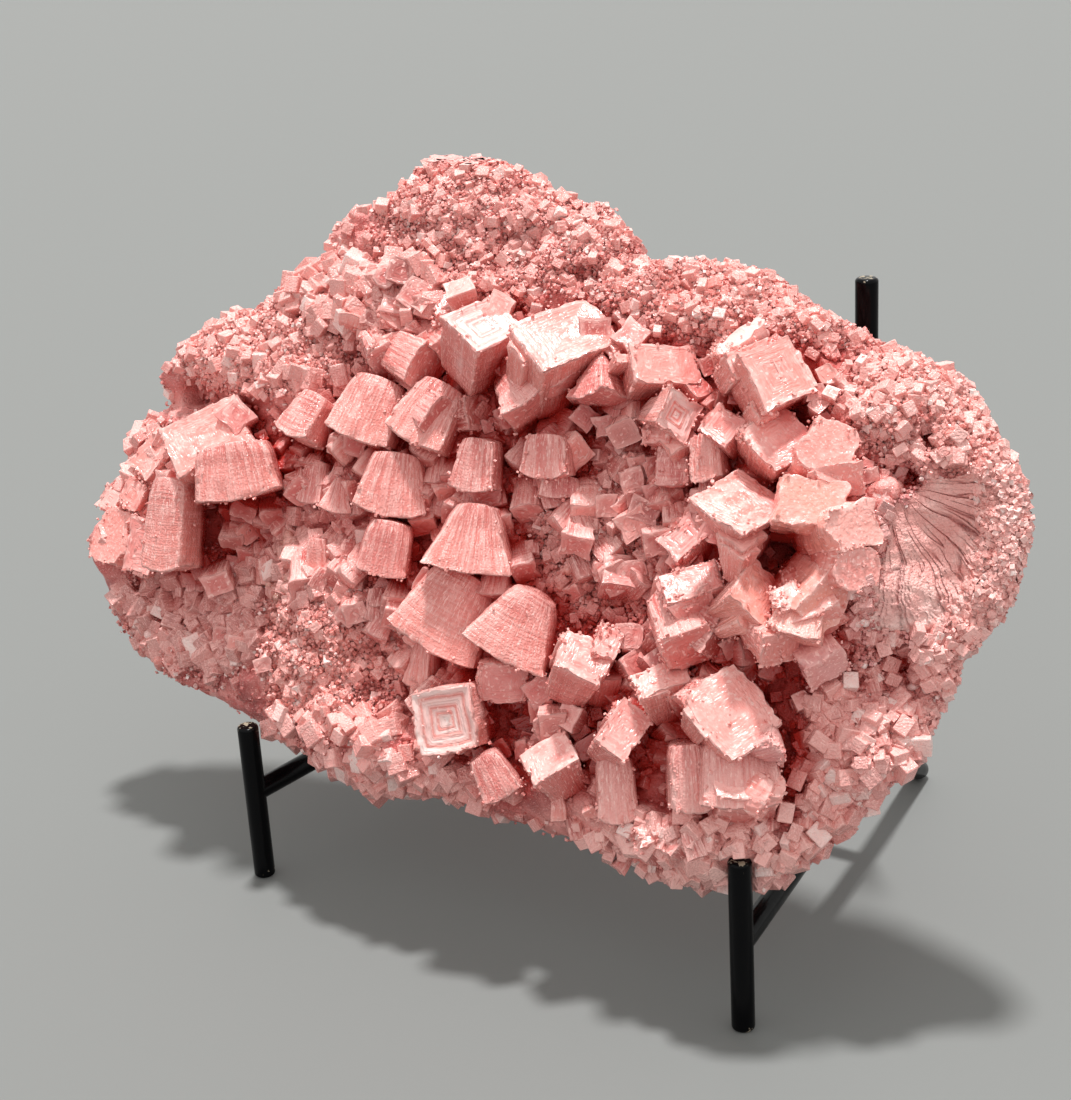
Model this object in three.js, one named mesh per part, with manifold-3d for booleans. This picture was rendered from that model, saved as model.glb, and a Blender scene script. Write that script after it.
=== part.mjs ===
// A pink halite cluster resting on a black steel rod stand.
// Millimetres, +Z up.  The stand's open side faces -Y; the halite leans back on the two uprights.
import * as THREE from 'three';
import { mergeVertices } from 'three/addons/utils/BufferGeometryUtils.js';
import Module from 'manifold-3d';

const wasm = await Module();
wasm.setup();

// ---- Driving dimensions of the stand -------------------------------------------------------
const ROD = 6.35;               // quarter-inch round bar
const ROD_R = ROD / 2;
const GAP = 0.3;                // air left at every welded or touching joint
const POST_SPACING = 165.8;     // between the front posts, centre to centre
const POST_HEIGHT = 50.8;       // two inches
const UPRIGHT_TOP = 178.6;      // about seven inches
const ARM_Z = { left: 28.6, right: 26.2 };   // height of each arm's axis at its front post
const KNEE_Z = 29.2;            // height of both arms' axes where the uprights stand
const KNEE = { x: 72.4, y: 96.7 };           // where arm, upright and crossbar meet
const FOOT = { x: 66.9, y: 148.1 };          // centre of each rear foot
const FOOT_FLAT = 2.2;          // radius of the flat on the end of a post
const SIDES = 14;               // facets round a bar
const BEND = 7;                 // how far each side of a bend its curve reaches
const ARM_STEPS = 14;           // lengths that an arm is made of

// ---- Driving dimensions of the halite ------------------------------------------------------
const LEAN = THREE.MathUtils.degToRad(25.8); // how far the slab leans back from upright
const SLAB_FOOT = new THREE.Vector3(0, 25, 30.4);   // lower back edge of the slab
const CENTRE = [-15, 88];       // middle of the slab, from which its rim is measured
const SEAM_W = 15;              // depth at which front and back shells meet
const FACE = { middle: 28, edge: 20 };       // height of the front face before its relief
const AROUND = 48;              // facets round the rim
const FRONT_RINGS = [0.2, 0.38, 0.54, 0.68, 0.8, 0.9, 0.975];
const BACK_RINGS = [0.93];
const FLARE = 1.8;              // how suddenly a crystal's sides turn outwards
const STRAIGHT = 0.75;          // a root above this share of the face has plain sides
const LYING = 55;               // a crystal tilted further than this lies along the face
const DRAWN_BACK = 16;          // how far the far side of a lying crystal reaches into the slab

// The slab's rim as [u, v]: u along the stand's width, v up the leaning face.
const RIM = [
  [-174, 49], [-167, 60], [-170, 69], [-160, 76], [-159, 90], [-150, 98], [-154, 107], [-149, 116],
  [-134, 124], [-116, 135], [-99, 151], [-95, 160], [-76, 173], [-60, 186], [-48, 185], [-29, 180],
  [-20, 175], [-4, 174], [4, 168], [10, 160], [18, 157], [26, 161], [38, 160], [50, 160], [66, 152],
  [88, 144], [111, 138], [120, 127], [133, 115], [139, 101], [136, 85], [124, 68], [120, 52],
  [116, 40], [103, 24], [92, 10], [80, 0], [66, -2], [52, -3], [26, -1], [3, 0], [-20, 4],
  [-36, -2], [-52, -1], [-66, 4], [-99, 9], [-133, 15], [-147, 22], [-160, 32], [-165, 40],
];

// Rises and hollows of the front face: middle [u, v], radii [u, v], height above the face.
const RELIEF = [
  [[-57, 168], [30, 17], 5],      // crest
  [[-2, 156], [30, 12], 4],
  [[50, 148], [34, 11], 7],
  [[100, 126], [24, 13], 8],      // right shoulder
  [[-110, 116], [36, 16], 8],     // left shoulder
  [[-60, 138], [34, 14], 5],
  [[104, 84], [10, 20], 10],      // grey lobe beside the fan
  [[121, 92], [15, 22], -4],      // sheet of the fan
  [[60, 8], [34, 10], 9],         // lower right lip
  [[-30, 12], [40, 10], 14],      // lower middle lip
  [[-62, 38], [22, 24], 10],      // pale granular bank
  [[-128, 103], [12, 5], -9],
  [[-96, 62], [14, 12], -7],
  [[-118, 38], [30, 18], -8],     // recess of small blocks
  [[22, 108], [17, 12], -4],
  [[26, 66], [12, 10], -4],
  [[66, 110], [12, 10], -4],
  [[111, 58], [9, 10], -8],
  [[10, 27], [7, 7], -8],
  [[62, 33], [14, 7], -5],
];

// Round holes: at [u, v, w], radii [u, v, w].
const HOLES = [
  { at: [90, 87, 46], radii: [5, 5, 24] },
  { at: [-92, 131, 34], radii: [5, 5, 12] },
];

// The side that the piece is meant to be seen from, in the slab's own directions: SHOWN points
// out towards the viewer, ACROSS to the viewer's right and UPWARD to the viewer's up.
const SHOWN = new THREE.Vector3(0.53, 0, 0.85).normalize();
const UPWARD = new THREE.Vector3(-0.16, 0.98, 0.1).projectOnPlane(SHOWN).normalize();
const ACROSS = UPWARD.clone().cross(SHOWN);

// Large skeletal crystals, each a square block that flares from its root to its outer face:
// name, middle of the outer face [u, v, w], the face's direction [aim, tilt, roll], size of the
// outer face, length to the root, size of the root against the outer face.  In degrees, aim is the
// way the face leans, anticlockwise from ACROSS, tilt how far it leans from SHOWN, and roll its
// turn in its own plane.
const CRYSTALS = [
  // lower middle
  ['window', [-2, 25, 50], [190, 18, 0], [17.5, 17.5], 26, 0.85],
  ['lower bell', [-11, 44, 40], [-95, 118, 40], [24, 24], 24, 0.5],
  ['upper bell', [-6, 64, 42], [-101, 98, 0], [22, 18], 21, 0.6],
  ['split wedge', [9, 43, 42], [-121, 100, 0], [23, 16], 18, 0.6],
  ['banded cube', [35, 50, 46], [67, 35, 0], [14, 13], 20, 0.85],
  ['banded twin', [39, 55, 42], [67, 30, 0], [7, 9], 16, 0.9],
  ['diamond', [51, 33, 46], [56, 20, 0], [11.5, 11.5], 20, 0.75],
  ['lip block', [14, 8, 38], [-62, 95, 0], [12, 10], 13, 0.75],
  ['lip ridge', [29, 22, 44], [120, 45, 0], [14, 12], 16, 0.8],
  ['clear block', [8, 38, 40], [-90, 8, 0], [14, 11], 14, 1],
  ['striped post', [49, 9, 36], [-86, 92, 0], [10.5, 10], 17.5, 0.95],
  ['low splinter', [62, 10, 38], [110, 40, 0], [12, 7], 14, 0.9],
  // lower right
  ['tall stack', [71, 15, 38], [-84, 92, 0], [11, 12], 16, 0.95],
  ['big stack', [84, 20, 38], [-88, 80, 0], [18, 14], 19, 0.85],
  ['stack lobe', [93, 24, 38], [-30, 60, 0], [9, 9], 14, 0.8],
  ['stack foot', [76, 7, 28], [-85, 70, 0], [23, 12], 10, 0.95],
  ['stack toe', [59, 1, 26], [-80, 60, 0], [14, 10], 12, 0.9],
  ['arrowhead', [76, 40, 44], [-132, 100, 0], [25, 16], 18, 0.5],
  ['splinter', [91, 42, 42], [-35, 75, 0], [12, 12], 12, 0.9],
  // right of the middle
  ['stair 1', [62, 75, 46], [107, 40, 0], [16, 10], 20, 0.9],
  ['stair 2', [65, 67, 45], [-60, 25, 0], [12, 12], 20, 0.9],
  ['clear stair', [71, 62, 42], [-30, 50, 0], [12, 9], 14, 1],
  ['stair 3', [65, 58, 46], [-70, 40, 0], [14, 12], 20, 0.9],
  ['stair 4', [58, 49, 45], [110, 45, 0], [15, 9], 16, 0.8],
  ['slanted ribs', [70, 39, 42], [-132, 80, 0], [20, 10], 10, 0.9],
  ['blush block', [54, 86, 40], [130, 30, 0], [12, 9], 16, 0.8],
  ['great pyramid', [69, 85, 44], [-148, 95, 0], [23, 20], 18, 0.5],
  ['lower pyramid', [81, 70, 46], [-146, 95, 0], [13, 13], 13, 0.6],
  ['frosted rib', [88, 84, 48], [30, 20, 0], [13, 6], 16, 0.9],
  ['frosted block', [92, 75, 47], [100, 20, 0], [9, 8], 18, 0.9],
  ['shoulder face', [94, 65, 46], [95, 15, 0], [11, 9], 20, 0.9],
  ['smooth face', [92, 55, 44], [-85, 10, 0], [13, 10], 20, 0.9],
  ['grey block', [100, 61, 40], [60, 25, 0], [11, 10], 18, 0.9],
  // round the red hole
  ['rim crown', [91, 99, 46], [80, 15, 0], [15, 11], 24, 0.9],
  ['rim right', [99, 95, 44], [10, 30, 0], [14, 12], 22, 0.9],
  ['rim lower', [101, 81, 44], [-20, 25, 0], [13, 12], 22, 0.9],
  ['rim foot', [98, 74, 44], [-80, 40, 0], [13, 9], 18, 0.9],
  ['right boss', [92, 114, 44], [60, 20, 0], [13, 15], 24, 0.85],
  ['boss foot', [95, 106, 44], [-80, 20, 0], [15, 9], 22, 0.9],
  ['boss cheek', [85, 106, 42], [-150, 25, 0], [8, 8], 16, 0.9],
  // upper right
  ['window cube', [57, 106, 38], [0, 45, 0], [10.5, 6.7], 8, 1],
  ['red cube', [46, 102, 36], [-88, 5, 0], [8, 10.5], 12, 1],
  ['small white cube', [33, 101, 33], [-80, 15, 0], [5, 9], 9, 1],
  ['toe cube', [55, 96, 36], [-85, 10, 0], [5.5, 5], 8, 1],
  ['tilted cube', [32, 91, 34], [-66, 12, 0], [6, 5.5], 9, 1],
  ['frosted cube', [62, 117, 43], [71, 25, 0], [9.5, 9], 10, 1],
  ['smooth cube', [73, 112, 40], [-130, 100, 0], [15, 12], 12, 0.5],
  ['great cube', [69, 128, 44], [-138, 95, 0], [20, 14], 14, 0.6],
  ['great cheek', [77, 130, 44], [-20, 35, 0], [14, 10], 16, 0.9],
  ['great crown', [67, 139, 42], [130, 45, 0], [12, 5], 12, 0.9],
  ['frosted ledge', [57, 138, 36], [95, 35, 0], [12, 5], 10, 0.9],
  ['bright hopper', [44, 112, 40], [-110, 95, 0], [15, 10], 12, 0.35],
  ['hopper face', [48, 117, 43], [30, 30, 0], [12, 8], 12, 0.7],
  ['upper wedge', [40, 130, 41], [80, 25, 0], [15, 11], 18, 0.8],
  ['upper twin', [32, 127, 39], [-140, 60, 0], [9, 8], 9, 0.8],
  ['dark pyramid', [19, 118, 38], [-110, 110, 35], [13, 13], 14, 0.3],
  // upper middle
  ['pale roof', [-17, 135, 45], [75, 38, 30], [17, 15], 24, 0.8],
  ['pale great block', [5, 131, 45], [80, 20, -10], [22, 16], 26, 0.85],
  ['pale great foot', [11, 119, 42], [-60, 60, 0], [12, 10], 14, 0.8],
  ['hooded block', [4, 113, 42], [-50, 60, 0], [18, 14], 16, 0.6],
  ['shaded wedge', [-20, 110, 36], [10, 50, 0], [10, 9], 12, 0.8],
  ['mauve wedge', [-27, 106, 42], [-35, 45, 0], [12, 12], 16, 0.8],
  ['fluted middle', [-12, 88, 38], [-107, 95, 0], [12, 11], 14, 0.75],
  ['middle cube', [11, 95, 40], [-96, 92, 0], [14, 11], 10.5, 0.8],
  ['middle step', [12, 90, 36], [-92, 85, 0], [11, 8], 6, 1],
  ['fluted row 1', [-37, 98, 42], [-120, 95, 0], [18, 14], 17, 0.8],
  ['fluted row 2', [-54, 96, 42], [-121, 95, 0], [18, 14], 17, 0.8],
  ['fluted row 3', [-80, 93, 42], [-122, 95, 0], [13, 13], 14, 0.8],
  ['salmon block', [-52, 120, 40], [-60, 40, 0], [9, 11], 14, 0.8],
  ['salmon flute', [-37, 120, 40], [-30, 45, 0], [14, 12], 16, 0.9],
  ['pink roof', [-52, 135, 37], [60, 25, 0], [11, 10], 14, 0.8],
  ['pink twin', [-35, 141, 35], [100, 35, 0], [14, 9], 14, 0.9],
  ['pink small', [-63, 142, 36], [60, 20, 0], [9, 9], 12, 0.9],
  // left of the middle
  ['fluted bell', [-40, 79, 40], [-99, 95, 0], [18, 14], 14, 0.6],
  ['fluted drum', [-39, 60, 40], [-102, 95, 0], [15, 14], 16, 0.85],
  ['small bell', [-62, 75, 37], [-100, 95, 0], [10, 9], 10, 0.35],
  // left end
  ['left roof', [-109, 90, 45], [115, 25, 0], [26, 19], 26, 0.85],
  ['left eaves', [-93, 73, 42], [-80, 90, 0], [26, 18], 15, 0.75],
  ['left column', [-116, 47, 40], [-98, 93, 0], [19, 16], 27, 0.75],
  ['end lobe', [-152, 54, 32], [160, 35, 0], [18, 14], 18, 0.85],
  ['end block', [-157, 65, 30], [150, 30, 0], [8, 8], 14, 0.9],
  ['end step', [-146, 68, 32], [150, 20, 0], [9, 8], 14, 0.9],
  ['end tower', [-143, 82, 30], [140, 30, 0], [16, 11], 16, 0.9],
  ['end web', [-137, 53, 34], [170, 20, 0], [18, 10], 16, 0.9],
  ['glint block', [-93, 31, 28], [-90, 10, 0], [6, 9], 10, 1],
];

// The fan: ribs that spread from one point over the hollow right end, by direction in degrees.
const FAN = { root: [109, 111, 23], reach: 28, from: -98, to: -6, ribs: 7, rise: -3, width: 2 };

// Loose scatter of small cubes in the recesses: region [u, v], radii, depth w, how many, edge.
const SCATTERS = [
  { at: [-112, 40], radii: [36, 20], w: 22, count: 9, edge: 9 },
  { at: [-58, 30], radii: [20, 20], w: 34, count: 4, edge: 8 },
  { at: [24, 84], radii: [18, 18], w: 29, count: 5, edge: 8 },
  { at: [-62, 66], radii: [16, 14], w: 29, count: 3, edge: 8 },
  { at: [30, 32], radii: [20, 12], w: 34, count: 3, edge: 8 },
  { at: [106, 44], radii: [10, 16], w: 24, count: 3, edge: 9 },
];

// A narrow gap runs right through the slab, slanting towards the left upright.
const SLIT = { at: [-44, 141, 22], size: [3.2, 6, 90], turn: 32 };

// ---- Small helpers ---------------------------------------------------------------------------
function random(seed) {
  let state = seed;
  return () => {
    state = (state * 1664525 + 1013904223) % 4294967296;
    return state / 4294967296;
  };
}

// Smooth bumps between -1 and 1, the same for a place every time.
function bumps(x, y, z, scale) {
  const a = Math.sin(x / scale * 1.7 + Math.sin(y / scale * 1.3 + 0.7) * 1.9);
  const b = Math.sin(y / scale * 2.1 + Math.sin(z / scale * 1.1 + 2.1) * 1.7);
  const c = Math.sin(z / scale * 1.9 + Math.sin(x / scale * 1.5 + 4.2) * 1.8);
  return (a + b + c) / 3;
}

function toSolid(geometry, matrix = new THREE.Matrix4()) {
  const bare = geometry.clone();
  bare.deleteAttribute('normal');
  bare.deleteAttribute('uv');
  const merged = mergeVertices(bare, 1e-4);
  merged.applyMatrix4(matrix);
  return new wasm.Manifold(new wasm.Mesh({
    numProp: 3,
    vertProperties: new Float32Array(merged.attributes.position.array),
    triVerts: new Uint32Array(merged.index.array),
  }));
}

function toGeometry(solid) {
  const { numProp, vertProperties, triVerts } = solid.getMesh();
  const places = new Float32Array(triVerts.length * 3);
  triVerts.forEach((vertex, corner) => {
    for (let axis = 0; axis < 3; axis += 1) {
      places[corner * 3 + axis] = vertProperties[vertex * numProp + axis];
    }
  });
  const geometry = new THREE.BufferGeometry();
  geometry.setAttribute('position', new THREE.BufferAttribute(places, 3));
  geometry.computeVertexNormals();
  return geometry;
}

function named(name, geometry, material) {
  const mesh = new THREE.Mesh(geometry, material);
  mesh.name = name;
  return mesh;
}

// ---- Stand -----------------------------------------------------------------------------------
const paint = new THREE.MeshStandardMaterial({ color: 0x0b0b0c, roughness: 0.35, metalness: 0.3 });

// A straight bar standing on z = 0, with both ends rounded down to a small flat.
function bar(length, radius = ROD_R, flat = FOOT_FLAT) {
  const corner = radius - flat;
  const profile = [new THREE.Vector2(0, 0)];
  for (const [base, turn] of [[corner, 0], [length - corner, 1]]) {
    for (let step = 0; step <= 3; step += 1) {
      const angle = (turn - 1 + step / 3) * Math.PI / 2;
      profile.push(new THREE.Vector2(flat + corner * Math.cos(angle), base + corner * Math.sin(angle)));
    }
  }
  profile.push(new THREE.Vector2(0, length));
  return new THREE.LatheGeometry(profile, SIDES).rotateX(Math.PI / 2);
}

// Matrix that stands the z axis of a bar along the line from one point to another.
function along(from, to) {
  const turn = new THREE.Quaternion().setFromUnitVectors(
    new THREE.Vector3(0, 0, 1), to.clone().sub(from).normalize());
  return new THREE.Matrix4().compose(from, turn, new THREE.Vector3(1, 1, 1));
}

function thickBar(from, to) {
  const length = from.distanceTo(to);
  return toSolid(bar(length, ROD_R + GAP, ROD_R), along(from, to));
}

// One side's arm: level from the front post, past the upright, then bent down to its foot.
function armSolid(front, knee, foot) {
  const level = knee.clone().sub(front).normalize();
  const corner = knee.clone().addScaledVector(level, ROD_R + BEND);
  const down = foot.clone().sub(corner).normalize();
  const path = new THREE.CurvePath();
  const bendStart = corner.clone().addScaledVector(level, -BEND);
  const bendEnd = corner.clone().addScaledVector(down, BEND);
  path.add(new THREE.LineCurve3(front, bendStart));
  path.add(new THREE.QuadraticBezierCurve3(bendStart, corner, bendEnd));
  path.add(new THREE.LineCurve3(bendEnd, foot));
  const round = new THREE.Shape().absarc(0, 0, ROD_R, 0, Math.PI * 2);
  const tube = new THREE.ExtrudeGeometry(round, { steps: ARM_STEPS, curveSegments: SIDES / 2, extrudePath: path });
  const tip = new THREE.SphereGeometry(ROD_R, SIDES, 6).rotateX(Math.PI / 2)
    .translate(foot.x, foot.y, foot.z);
  return toSolid(tube).add(toSolid(tip));
}

function standMeshes() {
  const meshes = [];
  const corners = [];
  for (const [side, sign] of [['left', -1], ['right', 1]]) {
    const front = new THREE.Vector3(sign * POST_SPACING / 2, 0, ARM_Z[side]);
    const knee = new THREE.Vector3(sign * KNEE.x, KNEE.y, KNEE_Z);
    const foot = new THREE.Vector3(sign * FOOT.x, FOOT.y, ROD_R);
    const arm = armSolid(front, knee, foot);
    const level = knee.clone().sub(front).normalize();
    const thickArm = thickBar(knee.clone().addScaledVector(level, -20), knee.clone().addScaledVector(level, 9));
    const postFoot = front.clone().setZ(0);
    const thickPost = thickBar(postFoot.clone().setZ(-1), postFoot.clone().setZ(POST_HEIGHT));

    const post = named(`${side}_front_post`, bar(POST_HEIGHT), paint);
    post.position.copy(postFoot);
    const upright = toSolid(bar(UPRIGHT_TOP - KNEE_Z), new THREE.Matrix4().setPosition(knee));
    meshes.push(post);
    meshes.push(named(`${side}_arm`, toGeometry(arm.subtract(thickPost)), paint));
    meshes.push(named(`${side}_upright`, toGeometry(upright.subtract(thickArm)), paint));
    const thickUpright = thickBar(knee, knee.clone().setZ(UPRIGHT_TOP));
    corners.push({ knee, clearance: thickArm.add(thickUpright) });
  }
  const [left, right] = corners;
  const cross = toSolid(bar(left.knee.distanceTo(right.knee)), along(left.knee, right.knee));
  const trimmed = cross.subtract(left.clearance).subtract(right.clearance);
  meshes.push(named('crossbar', toGeometry(trimmed), paint));
  return meshes;
}

// ---- Halite ----------------------------------------------------------------------------------
const salt = new THREE.MeshStandardMaterial({ color: 0xe09a94, roughness: 0.45, metalness: 0 });

// Distance from the slab's middle to its rim in a direction.
function rimDistance(angle) {
  const [cu, cv] = CENTRE;
  const dir = [Math.cos(angle), Math.sin(angle)];
  let far = 0;
  RIM.forEach(([au, av], index) => {
    const [bu, bv] = RIM[(index + 1) % RIM.length];
    const edge = [bu - au, bv - av];
    const cross = dir[0] * edge[1] - dir[1] * edge[0];
    if (Math.abs(cross) < 1e-9) return;
    const reach = ((au - cu) * edge[1] - (av - cv) * edge[0]) / cross;
    const share = ((au - cu) * dir[1] - (av - cv) * dir[0]) / cross;
    if (share >= 0 && share <= 1 && reach > far) far = reach;
  });
  return far;
}

// Height of the front face at a place that lies a share of the way from the middle to the rim.
function faceHeight(u, v, share) {
  const dome = FACE.middle - (FACE.middle - FACE.edge) * share ** 6;
  const relief = RELIEF.reduce((sum, [at, radii, height]) => {
    const far = ((u - at[0]) / radii[0]) ** 2 + ((v - at[1]) / radii[1]) ** 2;
    return sum + height * Math.exp(-far);
  }, 0);
  const rough = Math.min(1, share / 0.5);
  return dome + relief + rough * (2 * bumps(u, v, 0, 9) + 1.2 * bumps(u, v, 0, 3.5));
}

// The rough slab that all the crystals grow from, a closed shell of rings.
function slabGeometry() {
  const points = [];
  const ring = (share, height) => {
    for (let step = 0; step < AROUND; step += 1) {
      const angle = step / AROUND * Math.PI * 2;
      const reach = rimDistance(angle) * share;
      const u = CENTRE[0] + reach * Math.cos(angle);
      const v = CENTRE[1] + reach * Math.sin(angle);
      points.push(u, v, height(u, v, share));
    }
  };
  const back = (u, v, share) => 1 + 6 * share ** 12 + 0.8 * bumps(u, v, 5, 9);
  points.push(...CENTRE, faceHeight(...CENTRE, 0));
  FRONT_RINGS.forEach((share) => ring(share, faceHeight));
  ring(1, (u, v) => SEAM_W + 1.5 * bumps(u, v, 9, 7));
  BACK_RINGS.forEach((share) => ring(share, back));
  points.push(...CENTRE, 1);
  const count = FRONT_RINGS.length + 1 + BACK_RINGS.length;
  const faces = [];
  const at = (row, step) => 1 + row * AROUND + step % AROUND;
  for (let step = 0; step < AROUND; step += 1) {
    faces.push(0, at(0, step), at(0, step + 1));
    faces.push(points.length / 3 - 1, at(count - 1, step + 1), at(count - 1, step));
    for (let row = 0; row < count - 1; row += 1) {
      faces.push(at(row, step), at(row + 1, step), at(row + 1, step + 1));
      faces.push(at(row, step), at(row + 1, step + 1), at(row, step + 1));
    }
  }
  const geometry = new THREE.BufferGeometry();
  geometry.setAttribute('position', new THREE.Float32BufferAttribute(points, 3));
  geometry.setIndex(faces);
  return geometry;
}

// A lumpy ellipsoid.
function lumpSolid({ at, radii }) {
  const ball = mergeVertices(new THREE.IcosahedronGeometry(1, 1).deleteAttribute('normal')
    .deleteAttribute('uv'), 1e-4);
  const place = ball.attributes.position;
  for (let index = 0; index < place.count; index += 1) {
    const spot = new THREE.Vector3().fromBufferAttribute(place, index);
    const swell = 1 + 0.12 * bumps(spot.x * 9 + at[0], spot.y * 9 + at[1], spot.z * 9, 3.1);
    spot.multiplyScalar(swell).multiply(new THREE.Vector3(...radii));
    place.setXYZ(index, spot.x + at[0], spot.y + at[1], spot.z + at[2]);
  }
  return toSolid(ball);
}

// Matrix that carries a block lying under the plane z = 0 to its place, its face turned outwards.
function crystalMatrix([, at, [aim, tilt, roll]]) {
  const [lean, turn, spin] = [aim, tilt, roll].map(THREE.MathUtils.degToRad);
  const side = ACROSS.clone().multiplyScalar(Math.cos(lean)).addScaledVector(UPWARD, Math.sin(lean));
  const out = SHOWN.clone().multiplyScalar(Math.cos(turn)).addScaledVector(side, Math.sin(turn));
  const along = ACROSS.clone().multiplyScalar(Math.sin(lean)).addScaledVector(UPWARD, -Math.cos(lean));
  return new THREE.Matrix4().makeBasis(along, out.clone().cross(along), out)
    .setPosition(...at)
    .multiply(new THREE.Matrix4().makeRotationZ(spin));
}

// A block whose sides curve outwards from its root to its outer face, which lies on z = 0.
// Where a crystal lies along the slab, its far side is drawn back into the slab.
function crystalSolid(crystal) {
  const [, at, [, tilt], [width, height], depth, root] = crystal;
  const bands = root < STRAIGHT ? 2 : 1;
  const block = new THREE.BoxGeometry(width, height, depth, 1, 1, bands).translate(0, 0, -depth / 2);
  const place = block.attributes.position;
  for (let index = 0; index < place.count; index += 1) {
    const share = Math.max(0, 1 + place.getZ(index) / depth);
    const flare = root + (1 - root) * share ** FLARE;
    place.setXY(index, place.getX(index) * flare, place.getY(index) * flare);
  }
  block.applyMatrix4(crystalMatrix(crystal));
  if (tilt > LYING) {
    const face = new THREE.Vector3(...at);
    for (let index = 0; index < place.count; index += 1) {
      const corner = new THREE.Vector3().fromBufferAttribute(place, index);
      const beyond = face.clone().sub(corner).dot(SHOWN);
      if (beyond > height / 8) corner.addScaledVector(SHOWN, -DRAWN_BACK);
      place.setXYZ(index, corner.x, corner.y, corner.z);
    }
  }
  return toSolid(block);
}

function scatterCrystals({ at, radii, w, count, edge }, seed) {
  const draw = random(seed);
  return Array.from({ length: count }, () => {
    const angle = draw() * Math.PI * 2;
    const reach = Math.sqrt(draw());
    const size = edge * (0.6 + 0.7 * draw());
    const place = [at[0] + radii[0] * reach * Math.cos(angle), at[1] + radii[1] * reach * Math.sin(angle),
      w + 5 * draw()];
    const facing = [draw() * 360, 50 * draw(), draw() * 90];
    return ['loose block', place, facing, [size, size * (0.8 + 0.4 * draw())], size + 8, 0.9];
  });
}

function fanSolids() {
  const { root, reach, from, to, ribs, rise, width } = FAN;
  return Array.from({ length: ribs }, (_, index) => {
    const angle = THREE.MathUtils.degToRad(from + (to - from) * index / (ribs - 1));
    const rib = new THREE.CylinderGeometry(width, width * 0.5, reach, 5).rotateZ(-Math.PI / 2)
      .translate(reach / 2, 0, 0).rotateY(-Math.atan(rise / reach)).rotateZ(angle)
      .translate(...root);
    return toSolid(rib);
  });
}

// The outer skin alone, with pockets that no opening reaches filled in and loose crumbs dropped.
function skin(solid) {
  return solid.decompose().reduce((most, piece) => (piece.volume() > most.volume() ? piece : most));
}

// Room left in the halite for the bars that it touches.
function barClearance() {
  const rooms = [['left', -1], ['right', 1]].flatMap(([side, sign]) => {
    const front = new THREE.Vector3(sign * POST_SPACING / 2, 0, ARM_Z[side]);
    const knee = new THREE.Vector3(sign * KNEE.x, KNEE.y, KNEE_Z);
    return [thickBar(front.clone().setZ(0), front.clone().setZ(POST_HEIGHT + GAP)),
      thickBar(front, knee), thickBar(knee, knee.clone().setZ(UPRIGHT_TOP + GAP))];
  });
  return wasm.Manifold.union(rooms);
}

function haliteMesh() {
  const placed = new THREE.Matrix4().makeRotationX(Math.PI / 2 - LEAN).setPosition(SLAB_FOOT);
  const holes = wasm.Manifold.union(HOLES.map(lumpSolid));
  const small = SCATTERS.flatMap((scatter, index) => scatterCrystals(scatter, 11 + index * 7));
  const grown = wasm.Manifold.union([
    toSolid(slabGeometry()).subtract(holes), ...fanSolids(), ...[...CRYSTALS, ...small].map(crystalSolid)]);
  const slit = toSolid(new THREE.BoxGeometry(...SLIT.size)
    .rotateY(THREE.MathUtils.degToRad(SLIT.turn)).translate(...SLIT.at));
  const standing = grown.subtract(slit).transform(placed.elements);
  const whole = skin(standing.subtract(barClearance()));
  return named('halite_cluster', toGeometry(whole), salt);
}

// ---- Assembly --------------------------------------------------------------------------------
const placed = new THREE.Group();
placed.add(...standMeshes());
placed.add(haliteMesh());
const box = new THREE.Box3().setFromObject(placed);
const middle = box.getCenter(new THREE.Vector3());
placed.position.set(-middle.x, -middle.y, -box.min.z);

const group = new THREE.Group();
group.add(placed);

export default group;
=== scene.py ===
"""Finishes a pink halite cluster and the wire easel that it leans on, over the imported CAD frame."""

import logging
import math
from collections import defaultdict
from dataclasses import dataclass, field, replace
from enum import Enum

import bmesh
import bpy
import numpy as np
from mathutils import Matrix, Vector


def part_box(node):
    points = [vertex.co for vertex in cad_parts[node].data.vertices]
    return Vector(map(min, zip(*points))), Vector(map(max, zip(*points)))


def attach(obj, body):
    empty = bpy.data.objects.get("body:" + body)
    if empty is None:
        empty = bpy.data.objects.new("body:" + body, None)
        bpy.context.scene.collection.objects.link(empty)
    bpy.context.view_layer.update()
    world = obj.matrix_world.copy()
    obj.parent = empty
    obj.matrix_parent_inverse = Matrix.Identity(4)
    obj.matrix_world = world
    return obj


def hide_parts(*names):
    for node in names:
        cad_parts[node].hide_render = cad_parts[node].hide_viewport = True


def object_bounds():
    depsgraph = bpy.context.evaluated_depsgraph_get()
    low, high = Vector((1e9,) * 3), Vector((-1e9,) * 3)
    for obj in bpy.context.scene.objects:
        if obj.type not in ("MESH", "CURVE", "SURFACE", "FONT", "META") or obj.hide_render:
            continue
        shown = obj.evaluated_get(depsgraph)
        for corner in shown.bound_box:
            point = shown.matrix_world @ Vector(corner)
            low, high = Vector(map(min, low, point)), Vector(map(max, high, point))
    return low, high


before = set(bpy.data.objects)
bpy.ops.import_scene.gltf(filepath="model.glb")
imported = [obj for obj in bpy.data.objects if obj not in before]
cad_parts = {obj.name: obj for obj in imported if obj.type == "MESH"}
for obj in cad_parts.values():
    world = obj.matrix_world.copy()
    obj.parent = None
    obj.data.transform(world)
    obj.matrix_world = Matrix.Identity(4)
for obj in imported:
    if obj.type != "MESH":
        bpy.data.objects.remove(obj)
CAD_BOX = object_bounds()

LOG = logging.getLogger("halite")
MM = 0.001
BOX_MARGIN = 0.00005
Array = np.ndarray
Chance = np.random.Generator
Pair = tuple[float, float]
Triple = tuple[float, float, float]


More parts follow.
